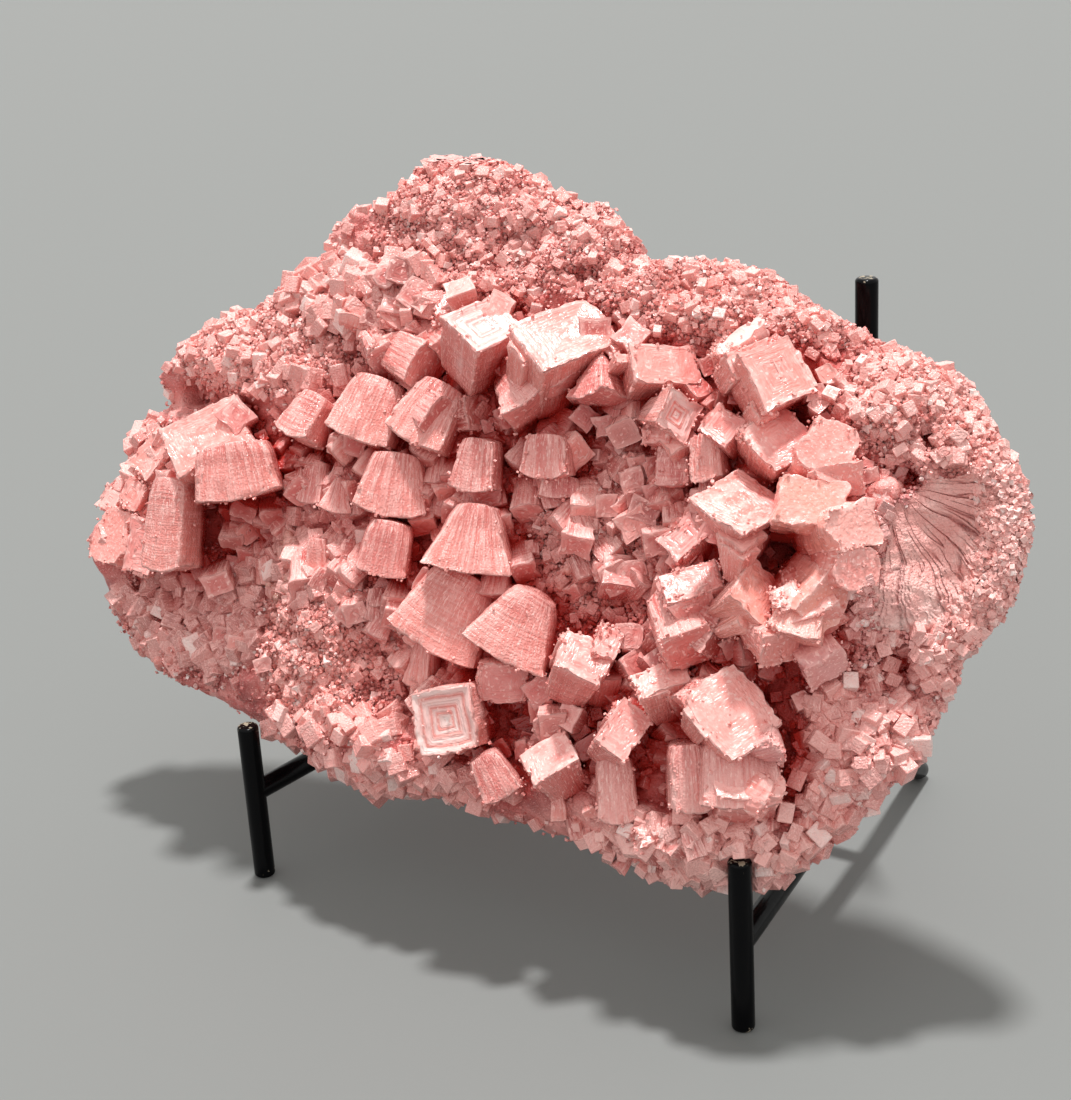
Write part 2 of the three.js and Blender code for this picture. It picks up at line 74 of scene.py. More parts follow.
# ---- Where things lie ------------------------------------------------------------------------
def unit(vector: Array) -> Array:
    """Scales a vector to length one."""
    return vector / np.linalg.norm(vector)


def units(vectors: Array) -> Array:
    """Scales each row to length one."""
    return vectors / np.linalg.norm(vectors, axis=1)[:, None]


def joined(*parts: Array | float) -> Array:
    """Sets parts side by side along a new last direction."""
    return np.stack(np.broadcast_arrays(*parts), axis=-1)


def mix(first: Array, second: Array, share: Array | float) -> Array:
    """Goes from the first to the second as share goes from 0 to 1."""
    return first * (1 - share) + second * share


def spread(points: Array, at: Pair, radii: Pair) -> Array:
    """Gives each place's squared distance from a patch's middle, which is 1 on its border."""
    return ((points[..., 0] - at[0]) / radii[0]) ** 2 + ((points[..., 1] - at[1]) / radii[1]) ** 2


def bow(start: Array | float, middle: float, end: Array | float, part: Array) -> Array:
    """Follows a curve from start to end that is drawn towards its middle."""
    return (1 - part) ** 2 * start + 2 * part * (1 - part) * middle + part**2 * end


def turned(hint: Array, lean: Array) -> Array:
    """Makes turn matrices whose last column is a direction.

    Args:
        hint: For each, a direction that isn't along its lean.
        lean: The directions, of any length.

    Returns:
        One matrix for each.
    """
    lean = units(lean)
    flat = units(np.cross(hint, lean))
    return joined(flat, np.cross(lean, flat), lean)


def put(name: str, data: bpy.types.ID) -> bpy.types.Object:
    """Makes an object from its data and puts it in the scene.

    Args:
        name: The object's name.
        data: Its mesh, light or camera.

    Returns:
        The object.
    """
    made = bpy.data.objects.new(name, data)
    bpy.context.scene.collection.objects.link(made)
    return made


def mesh_of(name: str, shape: bmesh.types.BMesh) -> bpy.types.Mesh:
    """Turns a shape into a mesh and frees it.

    Args:
        name: The mesh's name.
        shape: The shape.

    Returns:
        The mesh.
    """
    mesh = bpy.data.meshes.new(name)
    shape.to_mesh(mesh)
    shape.free()
    return mesh


@dataclass(frozen=True)
class Lie:
    """How the slab lies on its easel.

    Slab places are [u, v, w] in millimetres: u along the easel's width, v up the leaning face and
    w out of it. Easel places are millimetres from the middle between the two front posts.
    """

    lean: float = math.radians(25.8)
    foot: Triple = (0.0, 25.0, 30.4)
    post_spacing: float = 165.8

    def easel_origin(self) -> Array:
        """Finds the middle between the front posts in the row frame.

        Returns:
            The place in millimetres.
        """
        low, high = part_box("left_front_post")
        post = (np.array(low) + np.array(high)) / 2 / MM
        return np.array([post[0] + self.post_spacing / 2, post[1], 0.0])

    def axes(self) -> Array:
        """Gives the slab's three directions as rows, in the row frame."""
        sine, cosine = math.sin(self.lean), math.cos(self.lean)
        return np.array([[1, 0, 0], [0, sine, cosine], [0, -cosine, sine]], float)

    def stand(self, points: Array) -> Array:
        """Carries slab places to the row frame.

        Args:
            points: Slab places, one a row, in millimetres.

        Returns:
            Places in metres in the row frame.
        """
        origin = self.easel_origin() + np.array(self.foot)
        return (points @ self.axes() + origin) * MM


SHOWN = unit(np.array([0.53, 0.0, 0.85]))
UPWARD = np.array([-0.16, 0.98, 0.1])
UPWARD = unit(UPWARD - SHOWN * (UPWARD @ SHOWN))
ACROSS = np.cross(UPWARD, SHOWN)


# ---- Noise -----------------------------------------------------------------------------------
class Noise:
    """Repeatable roughness for arrays of places in millimetres."""

    @staticmethod
    def draw(cells: Array, seed: int) -> Array:
        """Draws a number from 0 to 1 for each whole-numbered cell.

        Args:
            cells: Cell numbers, three to a row.
            seed: Which draw this is.

        Returns:
            One number for each row.
        """
        whole = cells.astype(np.int64)
        mix = whole[..., 0] * 374761393 + whole[..., 1] * 668265263 + whole[..., 2] * 1440662683
        mix = (mix + seed * 1274126177) & 0xFFFFFFFF
        mix = ((mix ^ (mix >> 13)) * 1274126177) & 0xFFFFFFFF
        mix = ((mix ^ (mix >> 15)) * 668265263) & 0xFFFFFFFF
        return (mix ^ (mix >> 16)) / 4294967295.0

    @classmethod
    def smooth(cls, points: Array, scale: float, seed: int) -> Array:
        """Gives smooth noise between -1 and 1.

        Args:
            points: Places, three to a row.
            scale: Size of its lumps in millimetres.
            seed: Which noise this is.

        Returns:
            One number for each place.
        """
        spot = points / scale
        base = np.floor(spot)
        part = spot - base
        part = part * part * (3 - 2 * part)
        total = np.zeros(len(points))
        for corner in range(8):
            step = np.array([corner & 1, corner >> 1 & 1, corner >> 2 & 1])
            share = np.prod(np.where(step, part, 1 - part), axis=-1)
            total += share * cls.draw(base + step, seed)
        return total * 2 - 1

    @classmethod
    def rough(cls, points: Array, scale: float, octaves: int, seed: int) -> Array:
        """Gives noise with finer and finer lumps on it, between about -1 and 1.

        Args:
            points: Places, three to a row.
            scale: Size of its largest lumps in millimetres.
            octaves: How many sizes of lump it has, each half the one before.
            seed: Which noise this is.

        Returns:
            One number for each place.
        """
        total = np.zeros(len(points))
        for octave in range(octaves):
            total += cls.smooth(points, scale / 2**octave, seed + octave) / 2**octave
        return total / (2 - 2 ** (1 - octaves))

    @classmethod
    def swells(cls, points: Array) -> Array:
        """Gives the broad noise that is high where the salt is raised and painted paler."""
        return cls.rough(points, 11, 3, 21)

    @classmethod
    def sinks(cls, points: Array) -> Array:
        """Gives the broad noise that is high where the salt is sunk and painted darker."""
        return cls.smooth(points, 9, 27)

    @classmethod
    def steps(cls, points: Array, size: float, seed: int) -> Array:
        """Gives a number from 0 to 1 that is the same all over each small turned cube."""
        turn = np.array(Matrix.Rotation(0.3 + seed, 3, "Z") @ Matrix.Rotation(0.5 + seed, 3, "X"))
        return cls.draw(np.floor(points @ turn / size), seed)

    @staticmethod
    def waves(u: Array, v: Array, w: float, scale: float) -> Array:
        """Gives the slow waves of the CAD slab.

        Args:
            u: Places along the width.
            v: Places up the face.
            w: Height of all the places.
            scale: Size of the waves in millimetres.

        Returns:
            A number between -1 and 1 for each place.
        """
        first = np.sin(u / scale * 1.7 + np.sin(v / scale * 1.3 + 0.7) * 1.9)
        second = np.sin(v / scale * 2.1 + np.sin(w / scale * 1.1 + 2.1) * 1.7)
        third = np.sin(w / scale * 1.9 + np.sin(u / scale * 1.5 + 4.2) * 1.8)
        return (first + second + third) / 3


def ease(low: float, high: float, value: Array) -> Array:
    """Rises smoothly from 0 at low to 1 at high."""
    part = np.clip((value - low) / (high - low), 0, 1)
    return part * part * (3 - 2 * part)


# ---- The slab --------------------------------------------------------------------------------
RIM = [
    (-174, 49), (-167, 60), (-170, 69), (-160, 76), (-159, 90), (-150, 98), (-154, 107), (-149, 116),
    (-134, 124), (-116, 135), (-99, 151), (-95, 160), (-76, 173), (-60, 186), (-48, 185), (-29, 180),
    (-20, 175), (-4, 174), (4, 168), (10, 160), (18, 157), (26, 161), (38, 160), (50, 160), (66, 152),
    (88, 144), (111, 138), (120, 127), (131, 115), (135, 101), (133, 85), (124, 68), (120, 52),
    (116, 40), (103, 24), (92, 10), (80, 0), (66, -2), (52, -3), (26, -1), (3, 0), (-20, 4),
    (-36, -2), (-52, -1), (-66, 4), (-99, 9), (-133, 15), (-147, 22), (-160, 32), (-165, 40),
]

# Rises and hollows of the front face: middle, radii, height.
RELIEF = [
    ((-57, 168), (30, 17), 5), ((-2, 156), (30, 12), 4), ((50, 148), (34, 11), 7),
    ((100, 126), (24, 13), 8), ((-110, 116), (36, 16), 8), ((-60, 138), (34, 14), 5),
    ((104, 84), (10, 20), 10), ((121, 92), (15, 22), -4), ((60, 8), (34, 10), 9),
    ((-30, 12), (40, 10), 14), ((-62, 38), (22, 24), 10), ((-128, 103), (12, 5), -9),
    ((-96, 62), (14, 12), -7), ((-118, 38), (30, 18), -8), ((22, 108), (17, 12), -4),
    ((26, 66), (12, 10), -4), ((66, 110), (12, 10), -4), ((111, 58), (9, 10), -8),
    ((98, 100), (9, 8), 4), ((92, 66), (9, 9), 4), ((80, 15), (18, 12), 6), ((70, 60), (10, 13), 4),
    ((76, 38), (12, 9), 4), ((10, 27), (7, 7), -8), ((62, 33), (14, 7), -5), ((-33, 160), (30, 9), -5),
]

# Narrow pits: middle, radius, depth.
PITS = [
    ((84, 87), 6.5, 24), ((-96, 131), 3.5, 10), ((-138, 103), 4.0, 8), ((109, 122), 3.5, 9),
    ((106, 111), 4.0, 7), ((-51, 141), 2.6, 14), ((-62, 178), 2.5, 5), ((10, 27), 4.0, 8),
    ((111, 66), 4.5, 9), ((-92, 64), 3.5, 7),
]


@dataclass
class Slab:
    """The rough slab that every crystal grows from."""

    centre: Pair = (-15.0, 88.0)
    middle: float = 28.0
    edge: float = 20.0
    seam: float = 15.0
    fan_root: Pair = (104.5, 108.5)
    fan_reach: float = 29.0
    fan_drop: float = 0.33

    def reach(self, angle: Array) -> Array:
        """Measures how far the rim is from the middle.

        Args:
            angle: Directions in radians.

        Returns:
            A distance for each direction, in millimetres.
        """
        start = np.array(RIM, float)
        edge = np.roll(start, -1, axis=0) - start
        start = start - np.array(self.centre)
        way = np.stack([np.cos(angle), np.sin(angle)], axis=-1)
        cross = way[:, None, 0] * edge[None, :, 1] - way[:, None, 1] * edge[None, :, 0]
        cross = np.where(np.abs(cross) < 1e-9, 1e-9, cross)
        far = (start[:, 0] * edge[:, 1] - start[:, 1] * edge[:, 0])[None, :] / cross
        share = (start[None, :, 0] * way[:, None, 1] - start[None, :, 1] * way[:, None, 0]) / cross
        good = (share >= 0) & (share <= 1) & (far > 0)
        return np.where(good, far, 0).max(axis=1)

    def height(self, u: Array, v: Array, share: Array) -> Array:
        """Gives the height of the front face with its large relief.

        Args:
            u: Places along the width.
            v: Places up the face.
            share: How far out each place is, from 0 in the middle to 1 on the rim.

        Returns:
            Heights in millimetres.
        """
        total = self.middle - (self.middle - self.edge) * share**6
        spots = joined(u, v)
        for at, radii, rise in RELIEF:
            total = total + rise * np.exp(-spread(spots, at, radii))
        rough = np.minimum(1, share / 0.5)
        return total + rough * (2 * Noise.waves(u, v, 0, 9) + 1.2 * Noise.waves(u, v, 0, 3.5))

    def fan_size(self, angle: Array) -> Array:
        """Gives how far the ribbed fan reaches from its root, by direction in degrees."""
        return self.fan_reach * (1 + self.fan_drop * ease(15, 60, -angle))

    def fan_share(self, u: Array, v: Array) -> Array:
        """Says how much each place belongs to the ribbed fan.

        Args:
            u: Places along the width.
            v: Places up the face.

        Returns:
            From 0 outside it to 1 within.
        """
        du, dv = u - self.fan_root[0], v - self.fan_root[1]
        far = np.hypot(du, dv)
        angle = np.degrees(np.arctan2(dv, du))
        inside = ease(2, 6, far) * ease(-92, -84, angle) * (1 - ease(12, 22, angle))
        size = self.fan_size(angle)
        return inside * (1 - ease(size - 3, size + 1, far))

    @staticmethod
    def sugary(u: Array, v: Array) -> Array:
        """Says how sugary each place is: 1 along the crest and the right shoulder, 0 below."""
        return ease(0, 8, v - (158 - 0.23 * (u + 60)))

    def front(self, u: Array, v: Array, share: Array) -> Array:
        """Gives the height of the front face with its pits, blocky steps and fan.

        Args:
            u: Places along the width.
            v: Places up the face.
            share: How far out each place is.

        Returns:
            Heights in millimetres.
        """
        total = self.height(u, v, share)
        for at, radius, depth in PITS:
            far = np.hypot(u - at[0], v - at[1]) / radius
            total = total - depth * np.exp(-(far**4))
        spots = joined(u, v, 0.0)
        inside = self.fan_share(u, v)
        plain = 1 - 0.85 * inside
        sugary = self.sugary(u, v)
        total = total + sugary * (3.0 * Noise.swells(spots) - 2.5 * ease(0.2, 0.6, Noise.sinks(spots)))
        plain = plain * (1 - 0.6 * sugary)
        folded = ease(94, 106, u) * (1 - ease(64, 74, v))
        total = total + folded * 5.0 * Noise.rough(spots, 10, 2, 51)
        total = total + plain * 2.4 * (Noise.steps(spots, 6.5, 3) - 0.5)
        total = total + plain * 1.0 * (Noise.steps(spots, 3.2, 5) - 0.5)
        total = total + plain * 2.0 * Noise.rough(spots, 7, 4, 11)
        return total - 0.8 * inside


# ---- Stock that is cut once and copied -------------------------------------------------------
@dataclass(frozen=True)
class Stock:
    """A unit block, from -1 to 1 each way, kept as arrays so that it can be copied."""

    points: Array
    loops: Array
    sizes: Array

    @classmethod
    def from_bmesh(cls, shape: bmesh.types.BMesh) -> "Stock":
        """Reads a shape into arrays and frees it.

        Args:
            shape: The shape.

        Returns:
            Its stock.
        """
        points = np.array([vert.co for vert in shape.verts], float)
        shape.verts.index_update()
        loops = np.array([vert.index for face in shape.faces for vert in face.verts], np.int64)
        sizes = np.array([len(face.verts) for face in shape.faces], np.int64)
        shape.free()
        return cls(points, loops, sizes)

    @classmethod
    def block(cls, cuts: int, bevel: float) -> "Stock":
        """Cuts a block into a grid on each side and eases its edges.

        Args:
            cuts: Cuts across each side.
            bevel: Width of the eased edge, as a share of half the block.

        Returns:
            The block.
        """
        shape = bmesh.new()
        bmesh.ops.create_cube(shape, size=2.0)
        if cuts:
            bmesh.ops.subdivide_edges(shape, edges=shape.edges[:], cuts=cuts, use_grid_fill=True)
        if bevel:
            sharp = [edge for edge in shape.edges if edge.calc_face_angle(0.0) > 1.0]
            bmesh.ops.bevel(
                shape, geom=sharp, offset=bevel, offset_type="OFFSET", segments=1, profile=0.5,
                affect="EDGES", material=-1,
            )
        return cls.from_bmesh(shape)

    @classmethod
    def corner(cls) -> "Stock":
        """Makes the three faces round one corner of a block, that corner up.

        Returns:
            The corner.
        """
        shape = bmesh.new()
        bmesh.ops.create_cube(shape, size=2.0)
        bottom = [vert for vert in shape.verts if sum(vert.co) < -2.5]
        bmesh.ops.delete(shape, geom=bottom, context="VERTS")
        turn = Vector((1, 1, 1)).rotation_difference(Vector((0, 0, 1))).to_matrix()
        bmesh.ops.rotate(shape, matrix=turn, verts=shape.verts)
        return cls.from_bmesh(shape)

    @classmethod
    def nodule(cls) -> "Stock":
        """Makes a rounded knob from a ball of small faces.

        Returns:
            The knob.
        """
        shape = bmesh.new()
        bmesh.ops.create_icosphere(shape, subdivisions=2, radius=1.0)
        return cls.from_bmesh(shape)


@dataclass
class Heap:
    """Gathers copies of stock, in slab millimetres, until they become one mesh.

    Edges sharper than soft_angle, in degrees, stay crisp; at 0 every face is flat.
    """

    name: str
    soft_angle: float = 32.0
    parts: defaultdict[str, list[Array]] = field(default_factory=lambda: defaultdict(list))
    count: int = 0

    def keep(self, **arrays: Array) -> None:
        """Adds an array to each named part."""
        for label, values in arrays.items():
            self.parts[label].append(values)

    def gather(self, label: str) -> Array:
        """Joins all that was kept of one part, such as points in slab millimetres."""
        return np.concatenate(self.parts[label])

    def add(
        self, points: Array, stock: Stock, tint: Array, grain: Array,
        rim: Array | float = 0.0, band: Array | float = 0.5,
    ) -> None:
        """Adds one shape.

        Args:
            points: Where the stock's points now are.
            stock: The stock that gives the faces.
            tint: Colour of each point, or one for all.
            grain: Each point's place in the crystal's own millimetres.
            rim: How close each point is to an edge, 0 to 1.
            band: 0 where lines run up the crystal, 1 where they run round it.
        """
        self.keep(
            points=points, loops=stock.loops + self.count, sizes=stock.sizes, grain=grain,
            tint=np.broadcast_to(tint, points.shape), rim=np.broadcast_to(rim, len(points)),
            band=np.broadcast_to(band, len(points)),
        )
        self.count += len(points)

    def add_many(
        self, at: Array, turns: Array, halves: Array, stock: Stock, tint: Array,
        rim: float,
    ) -> None:
        """Adds many copies of one stock.

        Args:
            at: Middle of each copy.
            turns: A turn matrix for each, whose columns are its directions.
            halves: Half sizes of each.
            stock: What is copied.
            tint: Colour of each copy.
            rim: How much of each copy counts as edge.
        """
        local = stock.points[None] * halves[:, None, :]
        points = np.einsum("kpi,kji->kpj", local, turns) + at[:, None, :]
        total, size = len(at), len(stock.points)
        shift = np.arange(total)[:, None] * size + self.count
        edge = np.sort(np.abs(stock.points), axis=1)[:, 1]
        self.keep(
            points=points.reshape(-1, 3), loops=(stock.loops[None] + shift).reshape(-1),
            sizes=np.tile(stock.sizes, total), tint=np.repeat(tint, size, axis=0),
            grain=(local + at[:, None, :] * 7.3).reshape(-1, 3), rim=np.tile(rim * edge**3, total),
            band=np.full(total * size, 0.2),
        )
        self.count += total * size

    def build(self, lie: Lie, deep: Array) -> bpy.types.Object:
        """Turns the heap into an object.

        Args:
            lie: How the slab lies.
            deep: How deep each point lies among its neighbours, 0 to 1, which sets its painted shade.

        Returns:
            The object, at the origin with its place in its mesh.
        """
        low, high = (np.array(corner) for corner in CAD_BOX)
        points = np.clip(lie.stand(self.gather("points")), low + BOX_MARGIN, high - BOX_MARGIN)
        loops, sizes = self.gather("loops"), self.gather("sizes")
        mesh = bpy.data.meshes.new(self.name)
        mesh.vertices.add(len(points))
        mesh.vertices.foreach_set("co", points.astype(np.float32).ravel())
        mesh.loops.add(len(loops))
        mesh.loops.foreach_set("vertex_index", loops.astype(np.int32))
        mesh.polygons.add(len(sizes))
        mesh.polygons.foreach_set("loop_start", (np.cumsum(sizes) - sizes).astype(np.int32))
        mesh.update(calc_edges=True)
        tint = mesh.attributes.new("tint", "FLOAT_COLOR", "POINT")
        colour = np.ones((len(points), 4), np.float32)
        colour[:, :3] = self.gather("tint")
        tint.data.foreach_set("color", colour.ravel())
        grain = mesh.attributes.new("grain", "FLOAT_VECTOR", "POINT")
        grain.data.foreach_set("vector", self.gather("grain").astype(np.float32).ravel())
        normals = np.empty(len(points) * 3, np.float32)
        mesh.vertices.foreach_get("normal", normals)
        # deep carries the painted shade of hollows to the material.
        layers = {"rim": self.gather("rim"), "band": self.gather("band"), "deep": deep}
        # How much each point faces up, for the painted light that the material gives upward faces.
        layers["up"] = np.clip(normals.reshape(-1, 3)[:, 2], 0, 1)
        for label, values in layers.items():
            layer = mesh.attributes.new(label, "FLOAT", "POINT")
            layer.data.foreach_set("value", values.astype(np.float32))
        mesh.polygons.foreach_set("use_smooth", np.full(len(sizes), self.soft_angle > 0))
        if self.soft_angle:
            mesh.set_sharp_from_angle(angle=math.radians(self.soft_angle))
        return put(self.name, mesh)


# ---- Colours ---------------------------------------------------------------------------------
class Tone(Enum):
    """The salt's colours, as linear red, green and blue."""

    SALMON = (0.85, 0.28, 0.24)
    PINK = (0.76, 0.21, 0.185)
    ROSE = (0.62, 0.13, 0.12)
    DUSK = (0.42, 0.07, 0.06)
    BLOOD = (0.25, 0.022, 0.018)
    MAUVE = (0.66, 0.27, 0.27)
    PEACH = (0.93, 0.37, 0.30)
    BEIGE = (0.70, 0.38, 0.29)
    FROST = (0.95, 0.47, 0.425)
    # A pale tone, also the colour of the painted sheen on the large crystals' sides.
    SATIN = (0.96, 0.44, 0.40)
    WHITE = (0.98, 0.78, 0.74)
    WINE = (0.34, 0.05, 0.05)
    SHELL = (0.95, 0.52, 0.47)
    PEARL = (0.98, 0.66, 0.61)
    MAROON = (0.20, 0.035, 0.035)

    def rgb(self) -> Array:
        """Gives the colour as an array."""
        return np.array(self.value)


SALMON, PINK, ROSE, DUSK, BLOOD, MAUVE, PEACH, BEIGE, FROST, SATIN, WHITE, WINE, SHELL, PEARL, MAROON = Tone

# Where the slab's colour differs: middle, radii, tone, strength.
STAINS = [
    ((-30, 163), (34, 12), MAUVE, 0.6), ((-62, 178), (24, 12), PINK, 0.6),
    ((-45, 152), (34, 6), FROST, 0.6), ((-118, 112), (24, 24), FROST, 0.7),
    ((-88, 124), (28, 14), FROST, 0.9), ((60, 150), (50, 10), SALMON, 0.7),
    ((105, 128), (28, 16), FROST, 0.6), ((22, 84), (36, 30), BLOOD, 0.8),
    ((-118, 38), (36, 20), DUSK, 0.6), ((-80, 52), (9, 16), BEIGE, 0.9),
    ((-58, 34), (24, 22), PEACH, 0.6), ((20, 80), (24, 24), DUSK, 0.5),
    ((107, 92), (7, 24), MAUVE, 0.95), ((126, 92), (14, 28), FROST, 0.9),
    ((133, 98), (7, 26), WHITE, 0.6), ((112, 44), (16, 28), MAUVE, 0.7),
    ((66, 4), (48, 12), FROST, 0.9), ((114, 74), (8, 8), MAUVE, 0.8),
    ((-145, 22), (30, 8), SALMON, 0.7), ((-110, 124), (36, 12), SALMON, 0.7),
    ((22, 108), (20, 12), BLOOD, 0.5), ((24, 70), (13, 10), BEIGE, 0.9),
    ((88, 90), (14, 16), PEACH, 0.6),
]


def stain(points: Array, base: Tone) -> Array:
    """Colours places on the slab by where they are, with a mottle that is partly varied tone and partly
    painted light and shade.

    Args:
        points: Slab places.
        base: The colour away from every stain.

    Returns:
        A colour for each place.
    """
    colour = np.repeat(base.rgb()[None], len(points), axis=0)
    for at, radii, tone, strength in STAINS:
        share = (strength * np.exp(-(spread(points, at, radii) ** 1.5)))[:, None]
        colour = mix(colour, tone.rgb(), share)
    flat = points * np.array([1, 1, 0])
    # Partly a varied tone, partly painted light and shade: paler where the crest is raised, darker where it
    # is sunk.
    pale = 0.55 * ease(0.0, 0.55, Noise.swells(flat)[:, None])
    dark = 0.55 * ease(0.15, 0.6, Noise.sinks(flat)[:, None])
    return mix(mix(colour, FROST.rgb(), pale), WINE.rgb(), dark)


# ---- The large crystals ----------------------------------------------------------------------
@dataclass(frozen=True)
class Crystal:
    """A skeletal crystal: a square block that flares from its root to its outer face.

    at is the middle of the outer face. Aim is the way the face leans, anticlockwise from ACROSS,
    tilt how far it leans from SHOWN and roll its turn in its own plane, all in degrees. Root is
    its width there, as a share of the face. The name is a label for whoever edits the table.
    """

    name: str
    at: Triple
    aim: float
    tilt: float
    roll: float
    face: Pair
    depth: float
    root: float
    tone: Tone = PINK
    pit: float = 0.03
    lobed: float = 0.0

    @property
    def stepped(self) -> bool:
        """Says whether its face steps down into a plain square hollow."""
        return self.pit > 0.1

    def axes(self) -> Array:
        """Gives the crystal's own directions.

        Returns:
            A matrix with the directions as columns, the last out of the outer face.
        """
        aim, tilt, roll = (math.radians(angle) for angle in (self.aim, self.tilt, self.roll))
        side = ACROSS * math.cos(aim) + UPWARD * math.sin(aim)
        out = SHOWN * math.cos(tilt) + side * math.sin(tilt)
        along = ACROSS * math.sin(aim) - UPWARD * math.cos(aim)
        over = np.cross(out, along)
        first = along * math.cos(roll) + over * math.sin(roll)
        return joined(first, np.cross(out, first), out)


@dataclass
class CrystalForm:
    """How a large crystal is shaped from a unit block.

    Its width grows from root to face as a power, flare, of the way there, narrows by taper at the
    very root and steps by ledge. Dish hollows its sides, horn draws its corners out, rounding
    eases them and a stepped face has a number of rings. One that leans more than lying lies on
    its side: it swells where others are hollow, and its far side is drawn back. Edges fade out
    over edge_width, and chip, rag and flute say how far chips, roughness and flutes bite into it.
    All of it stands sunk into the slab. Lengths are in millimetres, the rest are shares.
    """

    flare: float = 1.3
    lying: float = 55.0
    least_lying: float = 5.0
    drawn_back: float = 9.0
    dish: float = 0.06
    swelling: float = 0.10
    horn: float = 0.05
    rounding: float = 0.15
    ledge: float = 0.018
    taper: float = 0.28
    taper_lying: float = 0.1
    rings: int = 6
    edge_width: float = 0.8
    chip: float = 2.3
    rag: float = 0.16
    flute: float = 0.34
    sunk: float = 3.5

    def lies(self, crystal: Crystal) -> bool:
        """Says whether a crystal lies on its side, with its face out to one side."""
        return crystal.tilt > self.lying and min(crystal.face) > self.least_lying

    def shape(self, crystal: Crystal, stock: Stock, rows: int, seed: int) -> tuple[Array, ...]:
        """Shapes one crystal.

        Args:
            crystal: Its place and size.
            stock: A unit block cut into a grid.
            rows: How many rows of faces the block has from root to rim.
            seed: Which roughness it gets.

        Returns:
            Its points in slab millimetres, their grain places, how close each is to an edge, how
            much its lines run round it, and how far each is from its root.
        """
        x, y = stock.points[:, 0], stock.points[:, 1]
        z = (stock.points[:, 2] - 1) / 2
        width, height = (side / 2 for side in crystal.face)
        share = np.clip(1 + z, 0, 1)
        lies = self.lies(crystal)
        luck = Noise.draw(np.array([[seed, 1, 2], [seed, 3, 4], [seed, 5, 6]]), 8)
        corner = x * x * y * y
        swell = self.widths(crystal, share, rows)
        rounding = self.rounding * (0.3 if crystal.stepped else 1)
        horn = self.horn * luck[0] - rounding * (1 - luck[0]) * 0.55 - 0.16 * crystal.lobed
        swell = swell * (1 + corner * (horn * share - rounding * (1 - share)))
        dish = -self.swelling * (0.6 + 0.6 * luck[0]) if lies else self.dish * (2 * luck[0] - 0.9)
        px = x * width * swell * (1 - (0.4 * dish if lies else dish) * (1 - y * y))
        py = y * height * swell * (1 - dish * (1 - x * x))
        out = np.maximum(np.abs(x), np.abs(y))
        top = (share > 0.999).astype(float)
        pit = crystal.pit * min(crystal.face)
        rings = np.floor((1 - out) * self.rings + 0.4) / self.rings
        sag = (luck[1] - 0.6) * 0.14 * min(crystal.face)
        pz = z * crystal.depth - top * pit * rings**0.7 + sag * (corner - 0.4) * share**5
        if lies:
            pz = pz + crystal.depth * (0.05 * (1 - share) ** 2 - 0.09 * share**2) * x * x
        own = joined(px, py, pz)
        gaps = joined((1 - np.abs(x)) * width, (1 - np.abs(y)) * height, -z * crystal.depth)
        edge = np.exp(-np.sort(gaps, axis=1)[:, 1] / self.edge_width)
        along = joined(x * width * 0.8, y * height * 0.8, z * crystal.depth * 0.07)
        flute = Noise.rough(along + seed * 5.1, 1.4, 2, seed + 3) * (1 - top)
        inwards = own * np.array([1, 1, 0.3]) / (np.linalg.norm(own, axis=1)[:, None] + 1e-6)
        shift = own + seed * 13.7
        own = own - inwards * self.bite(crystal, shift, edge, flute, seed)[:, None]
        own[:, 2] += 0.6 * share**6 * Noise.smooth(shift, 1.7, seed + 9) * edge
        placed = own @ crystal.axes().T
        if lies:
            back = self.drawn_back * ease(height / 8, height / 2, -(placed @ SHOWN))
            placed = placed - SHOWN * back[:, None]
        side_grain = joined(x * width, y * height, z * crystal.depth)
        top_grain = joined(x * width * 0.3, y * height * 0.3, (1 - out) * min(width, height))
        grain = np.where(top[:, None] > 0, top_grain, side_grain) + seed * 31.0
        band = np.maximum(top * min(1.0, crystal.pit * 9), 0.5 * (luck[2] > 0.75 and crystal.pit > 0))
        if crystal.lobed:
            grain, band = own * 0.5 + seed * 31.0, band * 0 + 0.5
        return placed + np.array(crystal.at) - SHOWN * self.sunk, grain, edge, band, share

    def widths(self, crystal: Crystal, share: Array, rows: int) -> Array:
        """Says how wide a crystal is along its length.

        Args:
            crystal: Its place and size.
            share: How far each point is from the root, from 0 to 1 at the face.
            rows: How many rows of faces the block has from root to rim.

        Returns:
            Widths as shares of the face's own.
        """
        lies = self.lies(crystal)
        steps = rows / 3
        saw = share * steps - np.floor(share * steps - 1e-6)
        swell = crystal.root + (1 - crystal.root) * share ** (1.0 if lies else self.flare)
        ledge = self.ledge * (0.5 if lies else 1.3)
        swell = swell + ledge * (saw - 0.5) * ease(0.05, 0.3, share) * (1 - ease(0.9, 1, share))
        taper = self.taper_lying if lies else self.taper
        return swell * (1 - taper + taper * ease(-0.04, 0.2, share))

    def bite(self, crystal: Crystal, shift: Array, edge: Array, flute: Array, seed: int) -> Array:
        """Says how far the crystal's surface is bitten back.

        Args:
            crystal: Its place and size.
            shift: Where each point reads the noise.
            edge: How close each point is to an edge.
            flute: How deep in a flute each point lies.
            seed: Which roughness it gets.

        Returns:
            Depths in millimetres.
        """
        rag = Noise.rough(shift, 2.2, 3, seed)
        lumps = Noise.smooth(shift, 5.5, seed + 17) * (0.03 + 0.07 * crystal.lobed) * min(crystal.face)
        wave = 1.6 * Noise.smooth(shift, 6.0, seed + 21) + 1.1 * Noise.rough(shift, 2.6, 3, seed + 23)
        lumps = lumps + crystal.lobed * (wave - 0.5 * edge)
        return self.chip * edge * np.clip(rag - 0.05, 0, 1) + self.rag * rag + self.flute * flute + lumps


